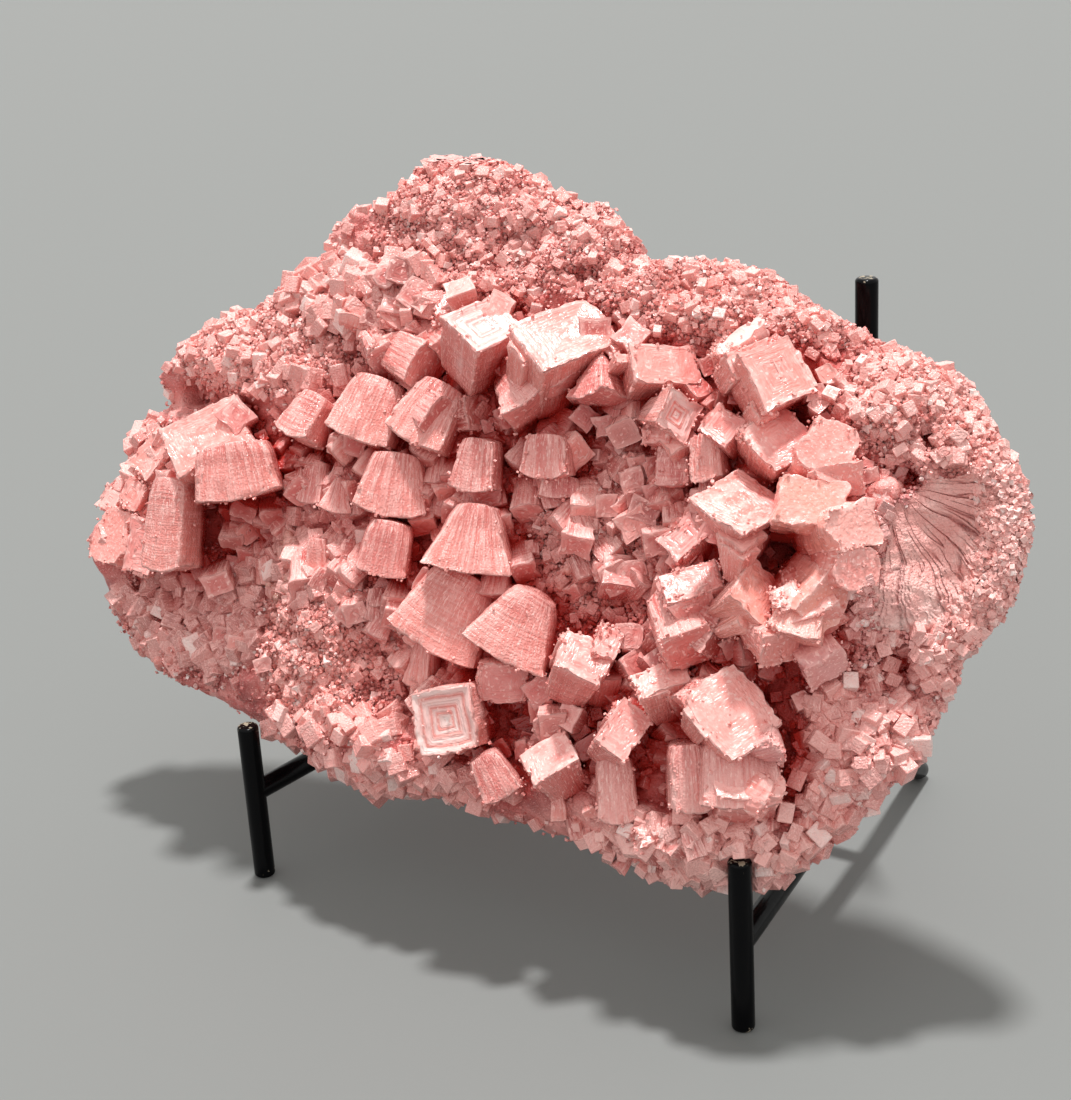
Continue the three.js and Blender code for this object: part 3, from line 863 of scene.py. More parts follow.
CRYSTALS = [Crystal(*row) for row in (
    # lower middle
    ("window", (-2, 25, 50), 190, 18, 0, (17.5, 17.5), 26, 0.92, SALMON, 0.12),
    ("lower bell", (-19, 43, 36), -118, 98, 8, (28, 20), 24, 0.72, SALMON),
    ("upper bell", (-11, 66, 38), -98, 95, 4, (25, 20), 19, 0.5, SALMON),
    ("split wedge", (6, 45, 38), -116, 100, 8, (25, 16), 20, 0.52, SALMON),
    ("banded cube", (35, 50, 46), 67, 35, 0, (14, 13), 20, 0.85),
    ("banded twin", (39, 55, 42), 67, 30, 0, (7, 9), 16, 0.9),
    ("diamond", (51, 34, 46), 56, 25, -3, (10, 15), 18, 0.85, PINK, 0.06),
    ("lip block", (14, 8, 38), -62, 95, 0, (12, 10), 13, 0.75),
    ("lip ridge", (29, 22, 44), 120, 45, 0, (14, 12), 16, 0.8),
    ("clear block", (8, 38, 40), -90, 8, 0, (14, 11), 14, 1, ROSE),
    ("striped post", (49, 9, 36), -86, 92, 0, (10.5, 10), 17.5, 0.95, SATIN),
    ("low splinter", (62, 10, 38), 110, 40, 0, (12, 7), 14, 0.9),
    # lower right
    ("tall stack", (71, 17, 38), -86, 92, 0, (12, 14), 18, 0.92, SATIN),
    ("big stack", (84, 20, 38), -88, 82, 0, (21, 15), 19, 0.9, SATIN),
    ("stack cap", (87, 29, 43), 90, 35, 0, (18, 11), 16, 0.9, FROST, 0.03, 0.6),
    ("stack lobe", (93, 24, 38), -30, 60, 0, (11, 11), 14, 0.8, SALMON, 0.03, 1.0),
    ("stack foot", (76, 7, 28), -85, 70, 0, (23, 12), 10, 0.95, SALMON, 0.03, 0.8),
    ("stack toe", (59, 1, 26), -80, 60, 0, (14, 10), 12, 0.9),
    ("arrowhead", (81, 45, 47), 72, 24, 54, (18, 21), 18, 0.8, SALMON, 0.0),
    ("splinter", (94, 40, 42), 20, 60, 30, (8, 7), 14, 0.9, MAUVE),
    # right of the middle
    ("stair 1", (62, 75, 46), 107, 40, 0, (16, 10), 20, 0.9),
    ("stair 2", (65, 67, 45), -60, 25, 0, (12, 12), 20, 0.9, ROSE),
    ("clear stair", (71, 62, 42), -30, 50, 0, (12, 9), 14, 1, DUSK),
    ("stair 3", (65, 58, 46), -70, 40, 0, (14, 12), 20, 0.9),
    ("stair 4", (58, 49, 45), 110, 45, 0, (15, 9), 16, 0.8, SALMON),
    ("slanted ribs", (70, 39, 42), -132, 80, 0, (20, 10), 10, 0.9),
    ("blush block", (54, 86, 40), 130, 30, 0, (12, 9), 16, 0.8, ROSE),
    ("great pyramid", (73, 97, 49), 85, 50, 47, (20, 20), 20, 0.15, SALMON, 0.0),
    ("lower pyramid", (82, 76, 48), 30, 42, 22, (13, 16), 18, 0.4, PEACH, 0.0),
    ("frosted rib", (91, 76, 50), 114, 38, 5, (7, 7), 8, 0.8, FROST),
    ("frosted block", (92, 70, 46), -120, 45, 20, (12, 9), 14, 0.75, SALMON),
    ("shoulder face", (93, 65, 46), -110, 75, 15, (14, 11), 15, 0.7, PEACH),
    ("smooth face", (91, 63, 48), -45, 38, 50, (9, 11), 14, 0.8, SALMON),
    ("grey block", (101, 60, 40), -60, 45, 0, (12, 10), 18, 0.9, MAUVE, 0.03, 0.6),
    # round the red hole
    ("rim crown", (92, 100, 49), 80, 15, 0, (18, 13), 26, 0.9, PEACH, 0.03, 0.9),
    ("rim right", (104, 96, 46), 10, 25, 0, (12, 14), 24, 0.9, PEACH, 0.03, 0.9),
    ("rim cheek", (106, 86, 44), -5, 25, 0, (9, 13), 22, 0.9, SALMON, 0.03, 1.0),
    ("rim lower", (100, 77, 46), -40, 25, 0, (15, 11), 22, 0.9, PEACH, 0.03, 0.8),
    ("rim foot", (99, 71, 44), -70, 50, 10, (13, 10), 18, 0.8, SALMON, 0.03, 0.5),
    ("right boss", (92, 114, 44), 60, 20, 0, (14, 15), 24, 0.85, SALMON, 0.03, 0.8),
    ("boss foot", (95, 106, 44), -80, 20, 0, (15, 9), 22, 0.9, SALMON, 0.03, 1.0),
    ("boss cheek", (85, 106, 42), -150, 25, 0, (8, 8), 16, 0.9),
    # upper right
    ("window cube", (58, 101, 38), -87, 84, 28, (9.5, 8), 12.5, 0.96, SALMON),
    ("red cube", (46, 98, 35), -92, 84, 15, (10, 9), 13, 0.92, ROSE),
    ("small white cube", (33, 101, 33), -80, 15, 0, (5, 9), 9, 1, FROST),
    ("toe cube", (55, 96, 36), -85, 10, 0, (5.5, 5), 8, 1),
    ("tilted cube", (32, 91, 34), -66, 12, 0, (6, 5.5), 9, 1),
    ("frosted cube", (61, 116, 44), 131, 28, 11, (9.5, 10), 13, 0.92, PINK, 0.08),
    ("smooth cube", (77, 115, 43), 88, 24, 40, (14.5, 15), 16, 0.85, SALMON),
    ("great cube", (75, 131, 46), 56, 22, 58, (15.5, 17), 18, 0.92, SALMON),
    ("great cheek", (66, 134, 44), 56, 22, 58, (14, 8), 16, 0.92, SALMON),
    ("great crown", (61, 141, 41), 130, 45, 0, (10, 4), 10, 0.9, WHITE, 0.03, 1.0),
    ("frosted ledge", (57, 138, 36), 95, 35, 0, (12, 5), 10, 0.9, FROST),
    ("bright hopper", (48, 117, 44), -2, 34, 62, (12, 12), 15, 0.45, SALMON, 0.12),
    ("hopper face", (41, 113, 41), 150, 45, 20, (9, 9), 12, 0.7),
    ("upper wedge", (40, 130, 42), 49, 32, 45, (20, 12), 18, 0.6, SALMON),
    ("upper twin", (32, 127, 39), -140, 60, 0, (9, 8), 9, 0.8),
    ("dark pyramid", (22, 117, 41), -92, 74, 45, (14, 14), 16, 0.22, ROSE),
    # upper middle
    ("pale roof", (-16, 134, 47), 78, 42, 48, (18, 17), 22, 0.85, PINK, 0.12),
    ("pale great block", (10, 134, 46), 79, 38, 40, (26, 19), 27, 0.85, SALMON, 0.06),
    ("pale great foot", (11, 119, 42), -60, 60, 0, (12, 10), 14, 0.8),
    ("hooded block", (4, 113, 42), -50, 60, 0, (18, 14), 16, 0.6),
    ("shaded wedge", (-20, 110, 36), 10, 50, 0, (10, 9), 12, 0.8, DUSK),
    ("mauve wedge", (-27, 106, 42), -35, 45, 0, (12, 12), 16, 0.8, ROSE),
    ("fluted middle", (-14, 88, 38), -97, 95, 20, (13.5, 11), 15, 0.8),
    ("middle cube", (9, 95, 39), -92, 92, 16, (14, 11), 12, 0.88),
    ("middle step", (12, 90, 36), -92, 85, 0, (11, 8), 6, 1, ROSE),
    ("fluted row 1", (-36, 97, 39), -118, 88, 18, (19, 16), 20, 0.85, SALMON),
    ("fluted row 2", (-55, 95, 40), -112, 86, 16, (21, 16), 20, 0.88, SALMON),
    ("fluted row 3", (-78, 93, 40), -118, 85, 30, (13, 13), 15, 0.85),
    ("salmon block", (-52, 120, 40), -60, 40, 0, (9, 11), 14, 0.8, ROSE),
    ("salmon flute", (-37, 120, 40), -30, 45, 0, (14, 12), 16, 0.9),
    ("pink roof", (-52, 135, 37), 60, 25, 0, (11, 10), 14, 0.8),
    ("pink twin", (-35, 141, 35), 100, 35, 0, (14, 9), 14, 0.9),
    ("pink small", (-63, 142, 36), 60, 20, 0, (9, 9), 12, 0.9),
    # left of the middle
    ("fluted bell", (-41, 77, 39), -99, 92, 0, (21, 15), 18, 0.72, SALMON),
    ("fluted drum", (-39, 60, 40), -102, 95, 0, (15, 14), 16, 0.85),
    ("small bell", (-62, 75, 37), -100, 95, 0, (10, 9), 10, 0.35),
    # left end
    ("left roof", (-109, 90, 45), 115, 25, 0, (26, 19), 26, 0.85, SALMON),
    ("left eaves", (-93, 73, 42), -80, 90, 0, (26, 17), 17, 0.88, SALMON),
    ("left column", (-117, 47, 40), -95, 92, 24, (15, 14), 29, 0.94, SALMON),
    ("end lobe", (-152, 54, 32), 160, 35, 0, (18, 14), 18, 0.85, SALMON, 0.03, 0.8),
    ("end block", (-157, 65, 30), 150, 30, 0, (8, 8), 14, 0.9, FROST),
    ("end step", (-146, 68, 32), 150, 20, 0, (9, 8), 14, 0.9, SALMON),
    ("end tower", (-143, 82, 30), 140, 30, 0, (16, 11), 16, 0.9, SALMON),
    ("end web", (-137, 53, 34), 170, 20, 0, (18, 10), 16, 0.9),
    ("glint block", (-93, 31, 28), -90, 10, 0, (6, 9), 10, 1, WHITE),
)]


# ---- The halite ------------------------------------------------------------------------------
@dataclass(frozen=True)
class Bed:
    """A patch of the slab that small blocks, knobs or grains grow on."""

    at: Pair
    radii: Pair
    count: int
    size: Pair
    tone: Tone = PINK
    sink: float = 0.3
    behind: bool = False

    @property
    def coarse(self) -> bool:
        """Says whether it grows blocks or knobs rather than grains."""
        return self.size[1] > 2


BLOCK_BEDS = [Bed(*row) for row in (
    ((101, 90), (5, 24), 220, (1.5, 3.5), MAUVE, 0.3),
    ((113, 71), (8, 9), 90, (1.5, 4), FROST, 0.3),
    ((98, 36), (8, 28), 220, (1.5, 5), SALMON, 0.3),
    ((82, 12), (18, 12), 160, (2, 5), FROST, 0.3),
    ((-30, 164), (50, 26), 520, (1.5, 3.4), SALMON, 0.4),
    ((52, 150), (56, 14), 320, (1.5, 3.4), SALMON, 0.4),
    ((108, 128), (28, 18), 200, (1.5, 3.6), FROST, 0.4),
    ((118, 60), (14, 30), 120, (1.5, 3.5), FROST, 0.4),
    ((-118, 36), (34, 20), 260, (3, 6.5), DUSK, 0.4),
    ((-92, 62), (16, 12), 60, (3, 6), DUSK, 0.4),
    ((-58, 34), (24, 24), 130, (2, 4), PINK, 0.5),
    ((-30, 10), (50, 13), 200, (2.5, 6), PINK, 0.4),
    ((18, 82), (30, 28), 300, (1.5, 4), DUSK, 0.4),
    ((24, 108), (22, 13), 90, (2, 4.5), DUSK, 0.4),
    ((-62, 62), (24, 20), 120, (2.5, 5.5), ROSE, 0.4),
    ((60, 64), (22, 30), 140, (2, 5), DUSK, 0.4),
    ((30, 30), (30, 18), 160, (2.5, 5.5), ROSE, 0.4),
    ((106, 40), (16, 26), 300, (1.5, 5), SALMON, 0.35),
    ((70, 4), (40, 9), 170, (2, 5), FROST, 0.4),
    ((-112, 118), (38, 18), 180, (2, 4.5), PINK, 0.5),
    ((-70, 138), (36, 14), 260, (2.5, 6), PINK, 0.4),
    ((-95, 158), (26, 16), 50, (2, 3.5), PINK, 0.5),
    ((96, 130), (28, 15), 90, (2, 4), PINK, 0.5),
    ((-150, 70), (14, 26), 80, (3, 6), PINK, 0.45),
    ((-15, 88), (160, 95), 380, (2, 4), ROSE, 0.5),
    ((66, 112), (16, 12), 60, (2, 5), ROSE, 0.4),
    ((-50, 108), (50, 14), 160, (2.5, 5.5), ROSE, 0.4),
    ((-15, 88), (160, 104), 420, (2, 6), ROSE, 0.65, True),
)]
KNOB_BEDS = [Bed(*row) for row in (
    ((-82, 56), (9, 16), 60, (2.5, 5.5), BEIGE, 0.5),
    ((20, 66), (10, 8), 24, (2, 4), BEIGE, 0.5),
    ((-145, 20), (26, 8), 50, (2.5, 5), SALMON, 0.6),
    ((130, 96), (12, 30), 90, (2, 4), FROST, 0.7),
    ((106, 42), (15, 32), 90, (1.5, 3.5), SALMON, 0.45),
    ((99, 90), (5, 24), 80, (1.5, 3.5), MAUVE, 0.4),
    ((96, 104), (10, 7), 60, (3, 6), SALMON, 0.4),
    ((92, 68), (9, 9), 60, (3, 6), SALMON, 0.4), ((82, 12), (18, 12), 20, (2, 4), FROST, 0.4),
)]
GRAIN_BEDS = [Bed(*row) for row in (
    ((-32, 162), (46, 24), 13000, (0.4, 1.0), PINK),
    ((50, 150), (54, 13), 9500, (0.4, 1.1), PINK),
    ((108, 130), (28, 18), 5500, (0.5, 1.2), SALMON),
    ((20, 80), (34, 34), 7500, (0.5, 1.3), DUSK),
    ((-58, 34), (28, 30), 6500, (0.5, 1.2), PINK),
    ((106, 90), (9, 28), 5000, (0.4, 1.0), MAUVE),
    ((-110, 122), (46, 18), 7000, (0.5, 1.1), PINK),
    ((-15, 88), (162, 104), 6000, (0.5, 1.2), ROSE),
    ((-120, 36), (36, 24), 4000, (0.5, 1.2), ROSE),
    ((110, 46), (22, 36), 5000, (0.5, 1.3), FROST),
    ((130, 98), (10, 34), 5500, (0.5, 1.6), FROST),
    ((-15, 88), (162, 104), 5000, (0.6, 1.8), PINK, 0.3, True),
)]
# A block is cut finer the larger it is: size it stays under, cuts across each side.
CUTS = ((10, 8), (14, 11), (20, 17), (math.inf, 20))


@dataclass(frozen=True)
class Ground:
    """The crust's points, their outward directions and how much area each one stands for."""

    points: Array
    normals: Array
    area: Array


@dataclass
class HaliteCluster:
    """The slab with everything that grows on it.

    The crust is shaped from a ball. Of the turn from its front pole to its back one, the front
    face takes the share up to front_end, the edge the next side_part and the back the share from
    back_start on. Brink, girth and under_rim are how far out the edge starts, bulges and ends, as
    shares of the rim's own distance.
    """

    lie: Lie
    slab: Slab = field(default_factory=Slab)
    form: CrystalForm = field(default_factory=CrystalForm)
    around: int = 620
    down: int = 150
    front_end: float = 0.6
    side_part: float = 0.17
    back_start: float = 0.77
    back_part: float = 0.23
    brink: float = 0.975
    girth: float = 1.05
    under_rim: float = 0.93
    floor_height: float = 8.0
    grid: float = 1.0
    seed: int = 20
    crumb_count: int = 2200
    lesser_count: int = 620
    lesser_size: Pair = (3.5, 9.5)
    middle_from: float = -20.0
    right_from: float = 54.0
    upper_from: float = 72.0
    blocks_upper_from: float = 87.0
    shoulder_from: float = 85.0
    crest_from: float = 140.0
    wide_bed: float = 100.0
    hole: Pair = (86.0, 88.0)
    hole_room: float = 14.0
    sheen: float = 0.6
    post_room: float = 4.0
    post_top: float = 51.0
    heaps: list[Heap] = field(default_factory=list)
    large: list[Heap] = field(default_factory=list)
    pieces: list[bpy.types.Object] = field(default_factory=list)

    def outness(self, u: Array, v: Array) -> Array:
        """Says how far out places are, from 0 in the slab's middle to 1 on its rim."""
        u, v = u - self.slab.centre[0], v - self.slab.centre[1]
        return np.hypot(u, v) / self.slab.reach(np.arctan2(v, u))

    def crust(self) -> Ground:
        """Shapes the slab itself from a ball whose poles are its front and back.

        Returns:
            Its surface.
        """
        shape = bmesh.new()
        bmesh.ops.create_uvsphere(shape, u_segments=self.around, v_segments=self.down, radius=1.0)
        ball = Stock.from_bmesh(shape)
        x, y, z = ball.points.T
        angle = np.arctan2(y, x)
        turn = np.arccos(np.clip(z, -1, 1)) / math.pi
        steps = np.linspace(-math.pi, math.pi, 2880)
        reach = np.interp(angle, steps, self.slab.reach(steps))
        front = np.clip(turn / self.front_end, 0, 1) ** 0.9 * self.brink
        side = np.clip((turn - self.front_end) / self.side_part, 0, 1)
        back = np.clip((turn - self.back_start) / self.back_part, 0, 1)
        on_front, before_back = turn < self.front_end, turn < self.back_start
        on_side = before_back & ~on_front
        share = np.where(on_front, front, self.under_rim * (1 - back) ** 0.8)
        share = np.where(on_side, bow(self.brink, self.girth, self.under_rim, side), share)
        u = self.slab.centre[0] + reach * share * np.cos(angle)
        v = self.slab.centre[1] + reach * share * np.sin(angle)
        top = self.slab.front(u, v, np.minimum(share, 1))
        under = 1 + 6 * np.minimum(share, 1) ** 12 + 0.8 * Noise.waves(u, v, 5, 9)
        drop = bow(top, self.slab.seam, under, side)
        points = joined(u, v, np.where(on_front, top, np.where(on_side, drop, under)))
        outer = ease(0.9, 0.99, share)
        rag = Noise.rough(points, 6, 4, 31) - 0.25 + 0.5 * (Noise.steps(points, 2.7, 33) - 0.5)
        points[:, 0] += outer * 1.7 * rag * np.cos(angle)
        points[:, 1] += outer * 1.7 * rag * np.sin(angle)
        relief = 2.4 * Noise.rough(points, 12, 4, 41) + 1.6 * Noise.steps(points, 5, 43)
        points[:, 2] += (turn > self.back_start) * relief
        heap = Heap("halite_crust", 50.0)
        heap.add(points, ball, stain(points, ROSE), points)
        self.heaps.append(heap)
        starts = np.cumsum(ball.sizes) - ball.sizes
        first, second, third = (points[ball.loops[starts + corner]] for corner in range(3))
        normal = np.cross(second - first, third - first)
        total = np.zeros_like(points)
        for corner in range(3):
            np.add.at(total, ball.loops[starts + corner], normal)
        area = np.linalg.norm(total, axis=1)
        return Ground(points, total / (area[:, None] + 1e-9), area)

    def fan(self) -> None:
        """Builds the fan of ribs at the right end, as a sheet laid on the crust."""
        shape = bmesh.new()
        bmesh.ops.create_grid(shape, x_segments=260, y_segments=110, size=1.0)
        sheet = Stock.from_bmesh(shape)
        angle = sheet.points[:, 0] * 55 - 35
        step = (sheet.points[:, 1] + 1) / 2
        scallop = 1 + 0.07 * Noise.rough(joined(angle / 9, 0.0, 0.0), 1.0, 3, 61)
        far = 2.5 + (self.slab.fan_size(angle) - 2.5) * step * scallop
        u = self.slab.fan_root[0] + far * np.cos(np.radians(angle))
        v = self.slab.fan_root[1] + far * np.sin(np.radians(angle))
        out = self.outness(u, v)
        keep = np.minimum(1, 0.955 / out)
        u = self.slab.centre[0] + (u - self.slab.centre[0]) * keep
        v = self.slab.centre[1] + (v - self.slab.centre[1]) * keep
        spots = joined(u, v, 0.0)
        groove = self.grooves(angle + 5 * Noise.rough(spots, 9, 3, 74), far)
        edge = np.minimum(np.minimum(1 - step, step * 4), np.minimum(angle + 90, 20 - angle) / 12)
        rise = 2.4 * ease(0, 0.08, edge) - 2.2 + 0.9 * ease(0.3, 1.0, step)
        sandy = 0.9 * (Noise.steps(spots, 1.3, 77) - 0.5) + 0.5 * Noise.rough(spots, 2.2, 3, 75)
        frost = sandy * (0.45 + 0.75 * ease(0.6, 0.95, step))
        w = self.slab.front(u, v, np.minimum(out, 1)) + 0.8 + rise + frost - 1.1 * groove
        pale = (ease(0.6, 1.0, step) * 0.75 + 0.25 * Noise.steps(spots, 1.9, 78))[:, None]
        tint = mix(SHELL.rgb(), PEARL.rgb(), np.clip(pale, 0, 1))
        # Painted shade: darker near the fan's root, where its ribs lie lowest.
        tint = mix(tint, DUSK.rgb(), (0.35 * (1 - ease(0.05, 0.25, step)))[:, None])
        dark = (0.9 * groove * (1 - 0.7 * ease(0.7, 1, step)))[:, None]
        points = joined(u, v, w)
        heap = Heap("halite_fan", 180.0)
        heap.add(points, sheet, mix(tint, MAROON.rgb(), dark), points)
        self.heaps.append(heap)

    @staticmethod
    def grooves(angle: Array, far: Array) -> Array:
        """Draws the fan's grooves, which fork into finer ones farther out.

        Args:
            angle: Directions from the fan's root in degrees.
            far: Distances from it in millimetres.

        Returns:
            How deep in a groove each place is, from 0 to 1.
        """
        groove = np.zeros_like(far)
        # each order of grooves: spacing in degrees, length, thickness, depth
        forks = [(9, 80, 0.07, 1.0), (5.0, 30, 0.09, 0.9), (3.0, 15, 0.12, 0.8), (1.9, 9, 0.14, 0.6)]
        for order, (wide, long, thick, strength) in enumerate(forks):
            spots = joined(angle / wide, far / long, float(order))
            line = np.clip(1 - np.abs(Noise.smooth(spots, 1.0, 71 + order)) / thick, 0, 1)
            groove = np.maximum(groove, strength * line * ease(4 + 5 * order, 10 + 5 * order, far))
        return groove

    def crystals(self) -> None:
        """Builds the large crystals, each with small blocks grown on it in the same lie."""
        draw = np.random.default_rng(self.seed)
        stocks = {cuts: Stock.block(cuts, 0.035) for _, cuts in CUTS}
        sides = ("left", "middle", "upper_right", "lower_right")
        groups = {side: Heap(f"crystals_{side}") for side in sides}
        for seed, crystal in enumerate(CRYSTALS, 1):
            u, v = crystal.at[:2]
            right = "upper_right" if v > self.upper_from else "lower_right"
            side = "left" if u < self.middle_from else "middle" if u < self.right_from else right
            size = max(*crystal.face, crystal.depth)
            cuts = next(cuts for limit, cuts in CUTS if size < limit)
            self.place(groups[side], crystal, stocks[cuts], cuts + 1, seed, draw)
            self.kin(groups[side], crystal, stocks[8], seed, draw)
        self.large = list(groups.values())
        self.heaps.extend(self.large)

    def kin(self, heap: Heap, crystal: Crystal, stock: Stock, seed: int, draw: Chance) -> None:
        """Grows one to three smaller crystals in the same lie, sunk into a large one.

        Args:
            heap: Where they go.
            crystal: What they grow on.
            stock: What they are shaped from, cut 8 times.
            seed: Which roughness they get.
            draw: Source of chance.
        """
        plain = crystal.tilt > self.form.lying or crystal.lobed or crystal.stepped
        for turn in range(0 if plain else draw.integers(1, 4)):
            share = draw.uniform(0.3, 0.55)
            side = draw.choice([-1, 1], 2) * (0.5 - share / 2 + draw.uniform(0.02, 0.09, 2))
            side = side * draw.permutation([1.0, draw.uniform(0.3, 1.0)])
            back = draw.uniform(-0.04, 0.3) * crystal.depth
            shift = crystal.axes() @ np.array([side[0] * crystal.face[0], side[1] * crystal.face[1], -back])
            face = (crystal.face[0] * share, crystal.face[1] * share * draw.uniform(0.8, 1.3))
            small = replace(
                crystal, at=tuple(np.array(crystal.at) + shift), face=face,
                depth=(crystal.depth - back) * 0.8, root=max(crystal.root, 0.7), pit=0.03, lobed=0.0,
            )
            self.place(heap, small, stock, 9, seed + 100 * (turn + 1), draw)

    def lesser(self, ground: Ground) -> None:
        """Fills the gaps with lesser crystals that lie much as the nearest large one does.

        Args:
            ground: The crust's surface.
        """
        points = ground.points
        draw = np.random.default_rng(self.seed + 2)
        heap, stock = Heap("crystals_lesser"), Stock.block(3, 0.05)
        large = np.array([crystal.at[:2] for crystal in CRYSTALS])
        u, v = points[:, 0], points[:, 1]
        clear = np.hypot(u - self.hole[0], v - self.hole[1]) > self.hole_room
        open_face = (points[:, 2] > 18) * (1 - self.slab.sugary(u, v)) * (1 - self.slab.fan_share(u, v))
        inner = self.outness(u, v)
        weight = ground.area * open_face * clear * (u < 98) * (1 - 0.85 * ease(0.72, 0.88, inner))
        near = np.ones(len(points))
        for place in large:
            near = np.minimum(near, np.hypot(u - place[0], v - place[1] + 8) / 16)
        weight = weight * (1 - near) ** 0.5
        chosen = draw.choice(len(points), self.lesser_count, p=weight / weight.sum())
        for seed, index in enumerate(chosen, 400):
            spot = points[index]
            model = CRYSTALS[int(np.argmin(np.hypot(*(large - spot[:2]).T)))]
            size = draw.uniform(*self.lesser_size) * (1 - 0.35 * float(inner[index] > 0.7))
            tone = draw.choice([SALMON, ROSE, DUSK, DUSK])
            aim = model.aim + draw.normal(0, 22)
            tilt = min(100, max(8, model.tilt * 0.7 + draw.normal(0, 22)))
            roll = model.roll + draw.normal(0, 12)
            face = (size, size * draw.uniform(0.7, 1.1))
            depth, root = size * draw.uniform(1.1, 1.6), draw.uniform(0.65, 1.0)
            pit = draw.uniform(0, 0.06)
            child = Crystal("lesser", tuple(spot), aim, tilt, roll, face, depth, root, tone, pit)
            lifted = spot + child.axes()[:, 2] * size * draw.uniform(0.4, 0.9) + SHOWN * (size * 0.3 + 3.5)
            self.place(heap, replace(child, at=tuple(lifted)), stock, 4, seed, draw)
        self.heaps.append(heap)

    def place(
        self, heap: Heap, crystal: Crystal, stock: Stock, rows: int, seed: int, draw: Chance
    ) -> None:
        """Shapes one crystal, colours it with painted shade at its root and a painted sheen on its sides,
        and puts it on the heap.

        Args:
            heap: Where it goes.
            crystal: Its place and size.
            stock: What it is shaped from.
            rows: How many rows of faces the stock has from root to rim.
            seed: Which roughness it gets.
            draw: Source of chance.
        """
        points, grain, edge, band, share = self.form.shape(crystal, stock, rows, seed)
        tone = crystal.tone.rgb() * (0.92 + 0.16 * draw.random())
        # Painted shade: darker towards the root, where the crystal sinks into the slab.
        tint = mix(tone, DUSK.rgb(), (0.7 * (1 - share) ** 1.2)[:, None])
        x, y = stock.points[:, 0], stock.points[:, 1]
        lean = Noise.draw(np.array([[seed, 7, 8], [seed, 9, 10]]), 9) - 0.5
        across = np.where(np.abs(y) > np.abs(x), x, y)
        # Painted sheen: a paler, streaked band down the lit middle of each side.
        lit = np.exp(-(((across - lean[0]) / 0.5) ** 2) - ((share - 0.62) / 0.4) ** 2)
        streaks = 0.5 + 0.9 * Noise.smooth(grain * np.array([1.0, 1.0, 0.08]), 1.1, seed)
        sheen = np.clip(self.sheen * lit * streaks, 0, 1)
        # On the outer face the band gives way to pale rings of squares where the face is stepped, else to a
        # random pale share.
        out = np.maximum(np.abs(x), np.abs(y))
        squares = 0.98 * (np.sin(out * math.pi * 7.5) > -0.55)
        face = squares if crystal.stepped else 0.55 * (lean[1] + 0.5)
        sheen = np.where(share > 0.999, face, sheen)[:, None]
        glow = WHITE if crystal.stepped else SATIN
        heap.add(points, stock, mix(tint, glow.rgb(), sheen), grain, edge, band)

    def sow(self, bed: Bed, ground: Ground, draw: Chance) -> tuple[Array, ...]:
        """Chooses where the small things of a bed grow, and how they are turned.

        Args:
            bed: The bed.
            ground: The crust's surface.
            draw: Source of chance.

        Returns:
            Middles, turns, half sizes and colours.
        """
        points = ground.points
        far = spread(points, bed.at, bed.radii)
        facing = points[:, 2] < 5 if bed.behind else points[:, 2] > 7
        weight = ground.area * np.clip(1.15 - far, 0, 1) * (far < 1) * facing
        chosen = draw.choice(len(points), bed.count, p=weight / weight.sum())
        normal = ground.normals[chosen]
        halves = draw.uniform(*bed.size, bed.count)[:, None] / 2
        halves = halves * draw.uniform(0.7, 1.2, (bed.count, 3))
        at = points[chosen] + draw.normal(0, 0.5, (bed.count, 3))
        lift = draw.uniform(0, 0.4, (bed.count, 1)) * (halves[:, :1] < 1.1)
        proud = 1 - 2 * bed.sink
        if bed.coarse:
            proud = proud * draw.uniform(0.3, 2.6, (bed.count, 1))
        at = at + normal * (halves[:, :1] * proud + lift)
        lean = normal + draw.normal(0, 0.8 if bed.coarse else 0.55, (bed.count, 3)) + SHOWN * 0.3
        spin = Noise.steps(at, 11, 5) * 3 + draw.normal(0, 0.35, bed.count)
        turns = turned(joined(-np.sin(spin), np.cos(spin), 0.0), lean)
        own = bed.tone.rgb() * 0.35 + stain(at, bed.tone) * 0.65
        frosted = draw.random((bed.count, 1)) ** 3 * (0.6 if bed.coarse else 1.1)
        tint = mix(own, FROST.rgb(), frosted) * draw.uniform(0.7, 1.15, (bed.count, 1))
        glint = draw.random((bed.count, 1)) > 0.91
        tint = np.where(glint, WHITE.rgb(), tint)
        clear = self.clear_of_posts(at, halves.max(axis=1))
        return at[clear], turns[clear], halves[clear], np.clip(tint, 0, 0.95)[clear]

    def clear_of_posts(self, at: Array, size: Array) -> Array:
        """Says which small things stay clear of the two front posts.

        Args:
            at: Their middles.
            size: Half their largest size.

        Returns:
            True for each one that doesn't touch a post.
        """
        own = self.lie.stand(at) / MM - self.lie.easel_origin()
        far = np.hypot(np.abs(own[:, 0]) - self.lie.post_spacing / 2, own[:, 1])
        return (far > self.post_room + size) | (own[:, 2] > self.post_top + size)

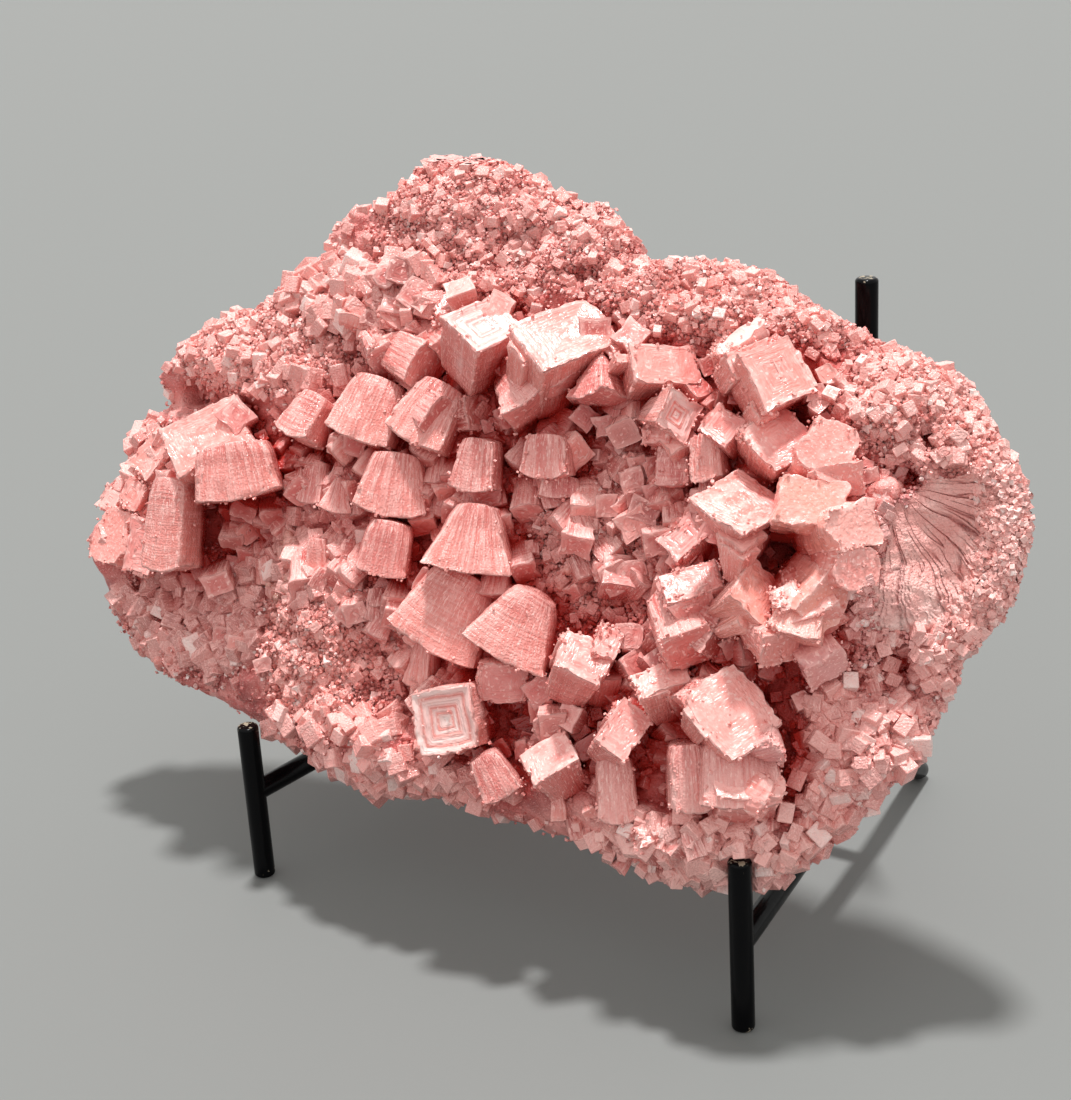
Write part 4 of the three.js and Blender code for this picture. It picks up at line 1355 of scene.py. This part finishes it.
    def small_things(self, ground: Ground) -> None:
        """Grows the small blocks, knobs and grains on the crust.

        Args:
            ground: The crust's surface.
        """
        draw = np.random.default_rng(self.seed + 1)
        u, v = ground.points[:, 0], ground.points[:, 1]
        rim = ease(0.92, 0.955, self.outness(u, v))
        ground = replace(ground, area=ground.area * (1 - self.slab.fan_share(u, v) * (1 - rim)))
        block, knob, grain = Stock.block(0, 0.09), Stock.nodule(), Stock.corner()
        upper, lower = Heap("blocks_upper"), Heap("blocks_lower")
        labels = ("crest", "shoulder", "face", "scatter", "crumbs")
        crest, shoulder, face, scatter, crumbs = (Heap(f"sugar_{label}", 0.0) for label in labels)
        plans = []
        for bed in BLOCK_BEDS:
            plans.append((bed, upper if bed.at[1] > self.blocks_upper_from else lower, block, 0.8))
        plans += [(bed, lower, knob, 0.1) for bed in KNOB_BEDS]
        for bed in GRAIN_BEDS:
            low = shoulder if bed.at[1] > self.shoulder_from else face
            heap = crest if bed.at[1] > self.crest_from else low
            plans.append((bed, scatter if bed.radii[0] > self.wide_bed else heap, grain, 0.3))
        for bed, heap, stock, rim in plans:
            at, turns, halves, tint = self.sow(bed, ground, draw)
            heap.add_many(at, turns, halves, stock, tint, rim)
        self.crumbs(crumbs, grain, draw)
        self.heaps.extend([upper, lower, crest, shoulder, face, scatter, crumbs])

    def crumbs(self, heap: Heap, stock: Stock, draw: Chance) -> None:
        """Strews crumbs along the edges and round the roots of the large crystals.

        Args:
            heap: Where they go.
            stock: What they are cut from.
            draw: Source of chance.
        """
        size = (self.crumb_count, 3)
        for crystals in self.large:
            points, weight = crystals.gather("points"), crystals.gather("rim") ** 2 + 0.015
            chosen = draw.choice(len(points), self.crumb_count, p=weight / weight.sum())
            at = points[chosen] + draw.normal(0, 0.45, size)
            lean = draw.normal(0, 1, size) + SHOWN
            turns = turned(draw.normal(0, 1, size), lean)
            halves = draw.uniform(0.14, 0.42, (self.crumb_count, 1)) * draw.uniform(0.8, 1.2, size)
            share = draw.random((self.crumb_count, 1))
            tint = mix(crystals.gather("tint")[chosen], FROST.rgb(), share)
            heap.add_many(at, turns, halves, stock, tint, 0.3)

    def deep(self, points: Array, top: Array, origin: Array) -> Array:
        """Measures how deep places lie below what stands round them, for the painted shade in hollows.

        Args:
            points: Slab places.
            top: Smoothed heights of the surroundings, in layers from narrow to wide.
            origin: The slab place of the first cell.

        Returns:
            From 0 in the open to 1 in a deep hollow.
        """
        cell = np.floor((points[:, :2] - origin) / self.grid).astype(int)
        cell = np.clip(cell, 0, np.array(top.shape[1:]) - 1)
        near, wide = (layer[cell[:, 0], cell[:, 1]] - points[:, 2] for layer in top)
        drop = np.clip((near - 1) / 8, 0, 1) * 0.6 + np.clip(wide / 12, 0, 1) * 0.6
        return np.clip(drop, 0, 1) * ease(9, 17, points[:, 2])

    def surroundings(self) -> tuple[Array, Array]:
        """Maps the height of all that was built, smoothed over a narrow and a wide patch.

        Returns:
            Two layers of heights, and the slab place of the first cell.
        """
        points = np.concatenate([heap.gather("points") for heap in self.heaps])
        origin = points[:, :2].min(axis=0) - 2
        cell = np.floor((points[:, :2] - origin) / self.grid).astype(int)
        top = np.full(cell.max(axis=0) + 3, self.floor_height)
        np.maximum.at(top, (cell[:, 0], cell[:, 1]), points[:, 2])
        return np.stack([self.smoothed(top, reach) for reach in (4, 10)]), origin

    @staticmethod
    def smoothed(heights: Array, reach: int) -> Array:
        """Averages a map of heights over square patches, twice.

        Args:
            heights: The map.
            reach: How many cells a patch reaches to each side.

        Returns:
            The smoothed map.
        """
        span = 2 * reach + 1
        for axis in (0, 1, 0, 1):
            pad = [(reach, reach) if side == axis else (0, 0) for side in (0, 1)]
            total = np.cumsum(np.pad(heights, pad, "edge"), axis=axis)
            total = np.insert(total, 0, 0, axis=axis)
            size = heights.shape[axis]
            high = np.take(total, range(span, span + size), axis=axis)
            heights = (high - np.take(total, range(size), axis=axis)) / span
        return heights

    def build(self) -> None:
        """Builds every part of the cluster in order."""
        ground = self.crust()
        self.fan()
        self.crystals()
        self.lesser(ground)
        self.small_things(ground)
        top, origin = self.surroundings()
        for heap in self.heaps:
            piece = heap.build(self.lie, self.deep(heap.gather("points"), top, origin))
            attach(piece, "root")
            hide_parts("halite_cluster")
            self.pieces.append(piece)

    def dress(self) -> None:
        """Gives each part of the cluster its finish."""
        sugar = SaltFinish("salt_sugar", streak=0.0, grit=0.4, pale=0.7, rough=0.16)
        finishes = {
            "halite_crust": SaltFinish("salt_crust", streak=0.0, grit=1.0, pale=0.6, rough=0.3),
            "halite_fan": SaltFinish("salt_fan", streak=0.0, grit=0.8, pale=0.6, rough=0.32, sunk=0.3),
        }
        blocks = SaltFinish("salt_blocks", streak=0.7, grit=0.6, pale=0.7, rough=0.06)
        finishes.update(blocks_upper=blocks, blocks_lower=blocks)
        plain = SaltFinish("salt_crystal", streak=1.0, grit=0.35, pale=0.85, rough=0.06)
        for piece in self.pieces:
            finish = sugar if piece.name.startswith("sugar") else finishes.get(piece.name, plain)
            piece.data.materials.append(finish.material())


# ---- Shaders ---------------------------------------------------------------------------------
class Sock:
    """A node's output that takes part in sums as a number does."""

    def __init__(self, bench: "Bench", socket: bpy.types.NodeSocket) -> None:
        """Keeps the socket and the bench that its nodes are made on."""
        self.bench, self.socket = bench, socket

    def _sum(self, kind: str, *values: "Sock | float") -> "Sock":
        """Adds one Math node."""
        return self.bench.node("ShaderNodeMath", {"operation": kind}, dict(enumerate(values)))

    def __add__(self, other: "Sock | float") -> "Sock":
        """Adds."""
        return self._sum("ADD", self, other)

    def __mul__(self, other: "Sock | float") -> "Sock":
        """Multiplies."""
        return self._sum("MULTIPLY", self, other)

    def __sub__(self, other: "Sock | float") -> "Sock":
        """Subtracts."""
        return self._sum("SUBTRACT", self, other)

    def __rsub__(self, other: float) -> "Sock":
        """Subtracts from a number."""
        return self._sum("SUBTRACT", other, self)

    def __pow__(self, other: float) -> "Sock":
        """Raises to a power."""
        return self._sum("POWER", self, other)

    def clamp(self) -> "Sock":
        """Keeps the value between 0 and 1."""
        return self.bench.node("ShaderNodeClamp", {}, {"Value": self})

    __radd__ = __add__
    __rmul__ = __mul__


class Bench:
    """Builds one material's nodes."""

    def __init__(self, name: str) -> None:
        """Starts an empty material with its Principled shader.

        Args:
            name: The material's name.
        """
        self.material = bpy.data.materials.new(name)
        self.material.use_nodes = True
        self.tree = self.material.node_tree
        self.tree.nodes.clear()
        self.shader = self.tree.nodes.new("ShaderNodeBsdfPrincipled")
        output = self.tree.nodes.new("ShaderNodeOutputMaterial")
        self.tree.links.new(self.shader.outputs[0], output.inputs["Surface"])

    def node(
        self, kind: str, settings: dict[str, object], inputs: dict[object, object], output: int | str = 0
    ) -> Sock:
        """Adds a node.

        Args:
            kind: Its type.
            settings: Its own settings, or "stops" for a ramp.
            inputs: Values or links for its sockets, by name or number.
            output: Which output is wanted.

        Returns:
            That output.
        """
        made = self.tree.nodes.new(kind)
        for key, value in settings.items():
            if key == "stops":
                ramp = made.color_ramp
                while len(ramp.elements) < len(value):
                    ramp.elements.new(1.0)
                for element, (place, colour) in zip(ramp.elements, value):
                    element.position, element.color = place, (*colour, 1.0)
            else:
                setattr(made, key, value)
        for key, value in inputs.items():
            self.feed(made.inputs[key], value)
        return Sock(self, made.outputs[output])

    def feed(self, socket: bpy.types.NodeSocket, value: object) -> None:
        """Links or sets one socket.

        Args:
            socket: The socket.
            value: What it is linked to, or its number or colour.
        """
        if isinstance(value, Sock):
            self.tree.links.new(value.socket, socket)
        else:
            socket.default_value = value

    def shade(self, **values: object) -> None:
        """Sets the shader's sockets, with _ for each space in their names."""
        for key, value in values.items():
            self.feed(self.shader.inputs[key.replace("_", " ")], value)

    def attribute(self, name: str, output: str) -> Sock:
        """Reads one of the mesh's own layers."""
        return self.node("ShaderNodeAttribute", {"attribute_name": name}, {}, output)

    def speckle(self, vector: Sock, scale: float | Triple, detail: float = 2.0) -> Sock:
        """Gives noise between 0 and 1.

        Args:
            vector: Where it is read.
            scale: How fine it is, the same all ways or along each direction.
            detail: How many finer noises lie on it.

        Returns:
            The noise.
        """
        if isinstance(scale, tuple):
            vector = self.node("ShaderNodeVectorMath", {"operation": "MULTIPLY"}, {0: vector, 1: scale})
            scale = 1.0
        return self.node("ShaderNodeTexNoise", {}, {"Vector": vector, "Scale": scale, "Detail": detail})

    def ramp(self, value: Sock, low: float, high: float) -> Sock:
        """Rises smoothly from 0 at low to 1 at high."""
        settings = {"interpolation_type": "SMOOTHSTEP"}
        return self.node("ShaderNodeMapRange", settings, {"Value": value, "From Min": low, "From Max": high})

    def blend(self, share: Sock | float, first: object, second: object) -> Sock:
        """Mixes two colours.

        Args:
            share: How much of the second there is.
            first: The first colour, as numbers or a link.
            second: The second.

        Returns:
            The mixed colour.
        """
        made = self.tree.nodes.new("ShaderNodeMix")
        made.data_type = "RGBA"
        self.feed(made.inputs[0], share)
        for socket, value in ((made.inputs[6], first), (made.inputs[7], second)):
            self.feed(socket, value if isinstance(value, Sock) else (*value, 1.0))
        return Sock(self, made.outputs[2])

    def bump(self, height: Sock, strength: float, distance: float) -> Sock:
        """Turns heights into a bump for the shader's Normal."""
        values = {"Strength": strength, "Distance": distance, "Height": height}
        return self.node("ShaderNodeBump", {}, values, "Normal")


@dataclass(frozen=True)
class Finish:
    """A finish that makes its material once and shares it."""

    name: str

    def material(self) -> bpy.types.Material:
        """Finds or makes the material.

        Returns:
            The material.
        """
        known = bpy.data.materials.get(self.name)
        if known:
            return known
        bench = Bench(self.name)
        self.lay(bench)
        return bench.material

    def lay(self, bench: Bench) -> None:
        """Sets up the material's nodes on its bench."""
        raise NotImplementedError


@dataclass(frozen=True)
class SaltFinish(Finish):
    """Pink salt, from glassy to frosted.

    Streak is how much of its paleness lies in lines, grit how sandy it is, pale how frosted it is
    along with the painted light on its upward faces, rough how far from glassy and sunk how strongly
    painted shade darkens and reddens it between its neighbours.
    """

    streak: float
    grit: float
    pale: float
    rough: float
    sunk: float = 1.45
    frost: Triple = (0.98, 0.57, 0.52)
    core: Triple = (0.74, 0.16, 0.14)
    painted_shade_red: Triple = (0.46, 0.03, 0.022)

    def lay(self, bench: Bench) -> None:
        """Mixes the salt's colour, roughness and bump from the mesh's own layers.

        Args:
            bench: Where its nodes are made.
        """
        grain = bench.attribute("grain", "Vector")
        tint = bench.attribute("tint", "Color")
        layers = ("deep", "rim", "band", "up")
        deep, rim, band, painted_top_light = (bench.attribute(label, "Fac") for label in layers)
        cloud = bench.speckle(grain, (0.16, 0.16, 0.16))
        grit = bench.speckle(grain, (1.7, 1.7, 1.7))
        mixed = cloud * 0.75 + grit * 0.25
        height = grit * (0.3 + self.grit) + cloud * 0.6
        frost_and_top_light = rim * 0.5
        if self.streak:
            flutes = bench.speckle(grain, (1.1, 1.1, 0.07), 3.0)
            rings = bench.speckle(grain, (0.05, 0.05, 1.25))
            lines = flutes * (1 - band) + rings * band
            share = 0.62 * self.streak
            mixed = lines * share + mixed * (1 - share)
            height = lines * self.streak + grit * (0.3 + self.grit)
            flecks = bench.ramp(bench.speckle(grain, (2.6, 2.6, 0.5), 1.0), 0.60, 0.68)
            frost_and_top_light = frost_and_top_light + flecks * (0.75 * self.streak)
        # Painted top light: upward faces are painted paler and frostier, on top of the frosted pattern and
        # pale edges.
        pale = bench.ramp(mixed + painted_top_light * 0.08, 0.47, 0.63)
        frost_and_top_light = (pale * (painted_top_light * 0.4 + 0.3) * self.pale + frost_and_top_light).clamp()
        specks = bench.ramp(bench.speckle(grain, 2.4, 2.0), 0.58, 0.68) * (0.75 * self.grit)
        colour = bench.blend((bench.ramp(cloud, 0.35, 0.62) * 0.35).clamp(), tint, self.core)
        colour = bench.blend(frost_and_top_light, colour, self.frost)
        colour = bench.blend(specks.clamp(), colour, self.frost)
        # Painted shade: darker and redder where the point lies deep among its neighbours.
        colour = bench.blend((deep * self.sunk).clamp(), colour, self.painted_shade_red)
        bench.shade(
            Base_Color=colour,
            Roughness=(grit * 0.3 + pale * 0.2 + (self.rough - 0.1)).clamp(),
            Normal=bench.bump(height, 0.8, 0.0007),
            IOR=1.544,
        )


@dataclass(frozen=True)
class PaintFinish(Finish):
    """Gloss black paint over steel bar, rubbed at the tips."""

    name: str = "easel_enamel"
    black: Triple = (0.002, 0.002, 0.0025)
    dusty: Triple = (0.003, 0.003, 0.003)
    bare: Triple = (0.32, 0.27, 0.20)

    def lay(self, bench: Bench) -> None:
        """Mixes the paint's colour, roughness and bump.

        Args:
            bench: Where its nodes are made.
        """
        place = bench.node("ShaderNodeTexCoord", {}, {}, "Object")
        wear = bench.attribute("wear", "Fac")
        peel = bench.speckle(place, 260.0, 2.0)
        chips = bench.speckle(place, 620.0, 3.0)
        dust = bench.speckle(place, 90.0, 4.0)
        bare = bench.ramp(chips * 0.6 + wear * 0.42, 0.64, 0.68)
        colour = bench.blend((bench.ramp(dust, 0.5, 0.8) * 0.2).clamp(), self.black, self.dusty)
        colour = bench.blend(bare, colour, self.bare)
        bench.shade(
            Base_Color=colour,
            Roughness=(dust * 0.15 + bare * 0.3 + 0.1).clamp(),
            Normal=bench.bump(peel - bare * 0.6, 0.25, 0.0003),
            IOR=1.45,
            Specular_IOR_Level=0.12,
        )


# ---- The easel -------------------------------------------------------------------------------
class End(Enum):
    """How a bar ends."""

    BURIED = "inside another bar"
    EASED = "flat with an eased edge"
    BALL = "half a ball"


@dataclass
class WireEasel:
    """The easel, bent and welded from round steel bar. Places are in easel millimetres."""

    lie: Lie
    radius: float = 3.175
    sides: int = 28
    flat: float = 2.2
    post_height: float = 50.8
    upright_top: float = 178.6
    knee: Triple = (72.4, 96.7, 29.2)
    foot: Pair = (66.9, 148.1)
    arm_height: dict[str, float] = field(default_factory=lambda: {"left": 28.6, "right": 26.2})
    bend: float = 7.0
    pieces: list[bpy.types.Object] = field(default_factory=list)

    def ending(self, tip: Vector, way: Vector, end: End) -> list[tuple[Vector, float]]:
        """Lists the rings that close one end of a bar.

        Args:
            tip: Where the bar's middle line ends.
            way: Direction out of that end.
            end: How it ends.

        Returns:
            Each ring's middle and radius, from the tip inwards.
        """
        if end is End.BURIED:
            return [(tip, self.radius)]
        rings = []
        for step in range(7):
            angle = math.radians(90 - 15 * step)
            if end is End.EASED:
                eased = self.radius - self.flat
                place, thick = tip - way * eased * (1 - math.sin(angle)), self.flat + eased * math.cos(angle)
            else:
                angle = min(angle, math.radians(86))
                place, thick = tip + way * self.radius * math.sin(angle), self.radius * math.cos(angle)
            rings.append((place, thick))
        return rings

    def bar(self, node: str, path: list[Vector], start: End, end: End) -> None:
        """Draws a round bar along a path, in place of a CAD node.

        Args:
            node: The CAD node.
            path: The bar's middle line.
            start: How it starts.
            end: How it ends.
        """
        rings = self.ending(path[0], (path[0] - path[1]).normalized(), start)
        rings += [(place, self.radius) for place in path[1:-1]]
        rings += self.ending(path[-1], (path[-1] - path[-2]).normalized(), end)[::-1]
        shape = bmesh.new()
        heading = (path[1] - path[0]).normalized()
        turn = heading.to_track_quat("Z", "Y").to_matrix().to_4x4()
        bmesh.ops.create_circle(
            shape, cap_ends=True, segments=self.sides, radius=rings[0][1],
            matrix=Matrix.Translation(rings[0][0]) @ turn,
        )
        edges = shape.edges[:]
        for index in range(1, len(rings)):
            (before, thin), (now, thick) = rings[index - 1], rings[index]
            after = rings[min(index + 1, len(rings) - 1)][0]
            ahead = (after - before).normalized()
            grown = bmesh.ops.extrude_edge_only(shape, edges=edges)["geom"]
            edges = [item for item in grown if isinstance(item, bmesh.types.BMEdge)]
            verts = [item for item in grown if isinstance(item, bmesh.types.BMVert)]
            edges = [edge for edge in edges if all(vert in verts for vert in edge.verts)]
            turn = heading.rotation_difference(ahead).to_matrix().to_4x4()
            grow = Matrix.Scale(thick / thin, 4)
            move = Matrix.Translation(now) @ turn @ grow @ Matrix.Translation(-before)
            bmesh.ops.transform(shape, matrix=move, verts=verts)
            heading = ahead
        bmesh.ops.holes_fill(shape, edges=edges, sides=0)
        bmesh.ops.recalc_face_normals(shape, faces=shape.faces[:])
        tips = [place for place, kind in ((path[0], start), (path[-1], end)) if kind is End.EASED]
        self.finish(node, shape, tips)

    def finish(self, node: str, shape: bmesh.types.BMesh, tips: list[Vector]) -> None:
        """Turns a bar into a piece, marked where it is rubbed.

        Args:
            node: The CAD node that it stands for.
            shape: The bar, which is freed.
            tips: Ends that things knock against.
        """
        layer = shape.verts.layers.float.new("wear")
        for vert in shape.verts:
            near = min([(vert.co - tip).length for tip in tips] or [100.0])
            vert[layer] = max(0.0, 1 - near / 9)
        origin = Vector(self.lie.easel_origin())
        bmesh.ops.translate(shape, verts=shape.verts[:], vec=origin)
        bmesh.ops.scale(shape, verts=shape.verts[:], vec=(MM, MM, MM))
        for vert in shape.verts:
            vert.co = Vector(np.clip(vert.co, *CAD_BOX))
        mesh = mesh_of(f"{node}_bar", shape)
        mesh.polygons.foreach_set("use_smooth", [True] * len(mesh.polygons))
        mesh.set_sharp_from_angle(angle=math.radians(50))
        piece = put(mesh.name, mesh)
        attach(piece, "root")
        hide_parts(node)
        self.pieces.append(piece)

    def spaced(self, corners: list[Vector], gap: float = 5.0) -> list[Vector]:
        """Adds places along straight lengths.

        Args:
            corners: The ends of the lengths.
            gap: The most that lies between two places.

        Returns:
            Every place in order.
        """
        line = [corners[0]]
        for start, end in zip(corners, corners[1:]):
            count = max(1, math.ceil((end - start).length / gap))
            line += [start.lerp(end, (step + 1) / count) for step in range(count)]
        return line

    def build(self) -> None:
        """Builds both sides, then the crossbar between them."""
        knees = []
        for side, sign in (("left", -1), ("right", 1)):
            across = sign * self.lie.post_spacing / 2
            front = Vector((across, 0, self.arm_height[side]))
            knee = Vector((sign * self.knee[0], self.knee[1], self.knee[2]))
            foot = Vector((sign * self.foot[0], self.foot[1], self.radius))
            level = (knee - front).normalized()
            corner = knee + level * (self.radius + self.bend)
            down = (foot - corner).normalized()
            first, last = corner - level * self.bend, corner + down * self.bend
            curve = [
                first.lerp(corner, part / 8).lerp(corner.lerp(last, part / 8), part / 8) for part in range(9)
            ]
            post = [Vector((across, 0, 0)), Vector((across, 0, self.post_height))]
            self.bar(f"{side}_front_post", self.spaced(post), End.EASED, End.EASED)
            arm = self.spaced([front, first]) + curve[1:-1] + self.spaced([last, foot])
            self.bar(f"{side}_arm", arm, End.BURIED, End.BALL)
            top = Vector((knee.x, knee.y, self.upright_top))
            self.bar(f"{side}_upright", self.spaced([knee, top]), End.BURIED, End.EASED)
            knees.append(knee)
        self.bar("crossbar", self.spaced(knees), End.BURIED, End.BURIED)

    def dress(self) -> None:
        """Paints every bar."""
        for piece in self.pieces:
            piece.data.materials.append(PaintFinish().material())


# ---- The studio ------------------------------------------------------------------------------
@dataclass(frozen=True)
class FloorFinish(Finish):
    """A matt pale table top."""

    name: str = "table_top"
    tone: Triple = (0.168, 0.172, 0.166)

    def lay(self, bench: Bench) -> None:
        """Sets the table's one colour."""
        bench.shade(Base_Color=(*self.tone, 1.0), Roughness=0.7)


@dataclass
class Studio:
    """A plain floor, soft light and the camera."""

    lie: Lie
    eye: Triple = (310.3, -408.9, 325.4)
    forward: Triple = (-0.53099, 0.76171, -0.37130)
    roll: float = math.radians(-3.457)
    lens: float = 68.42
    floor_size: float = 12.0
    sun_way: Triple = (0.05, -0.12, -1.0)
    sun_spread: float = math.radians(6)
    sun_power: float = 3.9
    fill: float = 0.94

    def build(self) -> None:
        """Builds the camera, the floor and the lights."""
        self.camera()
        shape = bmesh.new()
        bmesh.ops.create_grid(shape, x_segments=1, y_segments=1, size=self.floor_size / 2)
        floor = put("floor", mesh_of("floor", shape))
        floor.data.materials.append(FloorFinish().material())
        data = bpy.data.lights.new("ceiling light", "SUN")
        data.energy, data.angle = self.sun_power, self.sun_spread
        light = put("ceiling light", data)
        light.rotation_euler = Vector(self.sun_way).to_track_quat("-Z", "Y").to_euler()
        world = bpy.data.worlds.new("room")
        world.use_nodes = True
        background = world.node_tree.nodes["Background"].inputs
        background["Color"].default_value = (1.0, 1.0, 0.98, 1.0)
        background["Strength"].default_value = self.fill
        bpy.context.scene.world = world
        bpy.context.scene.view_settings.view_transform = "Standard"

    def camera(self) -> None:
        """Sets up the camera."""
        forward = Vector(self.forward).normalized()
        level = forward.cross(Vector((0, 0, 1))).normalized()
        upright = level.cross(forward)
        right = level * math.cos(self.roll) + upright * math.sin(self.roll)
        up = upright * math.cos(self.roll) - level * math.sin(self.roll)
        turn = Matrix((right, up, -forward)).transposed().to_4x4()
        data = bpy.data.cameras.new("camera")
        data.lens, data.sensor_width, data.sensor_fit = self.lens, 36.0, "AUTO"
        data.clip_start, data.clip_end = 0.01, 100.0
        camera = put("camera", data)
        place = (Vector(self.lie.easel_origin()) + Vector(self.eye)) * MM
        camera.matrix_world = Matrix.Translation(place) @ turn
        bpy.context.scene.camera = camera


def main() -> None:
    """Builds the studio, the easel and the cluster, and reports each piece."""
    logging.basicConfig(level=logging.INFO, format="%(message)s")
    lie = Lie()
    Studio(lie).build()
    for part in (WireEasel(lie), HaliteCluster(lie)):
        part.build()
        part.dress()
        for piece in part.pieces:
            LOG.info("%s: %d faces", piece.name, len(piece.data.polygons))


if __name__ == "__main__":
    main()
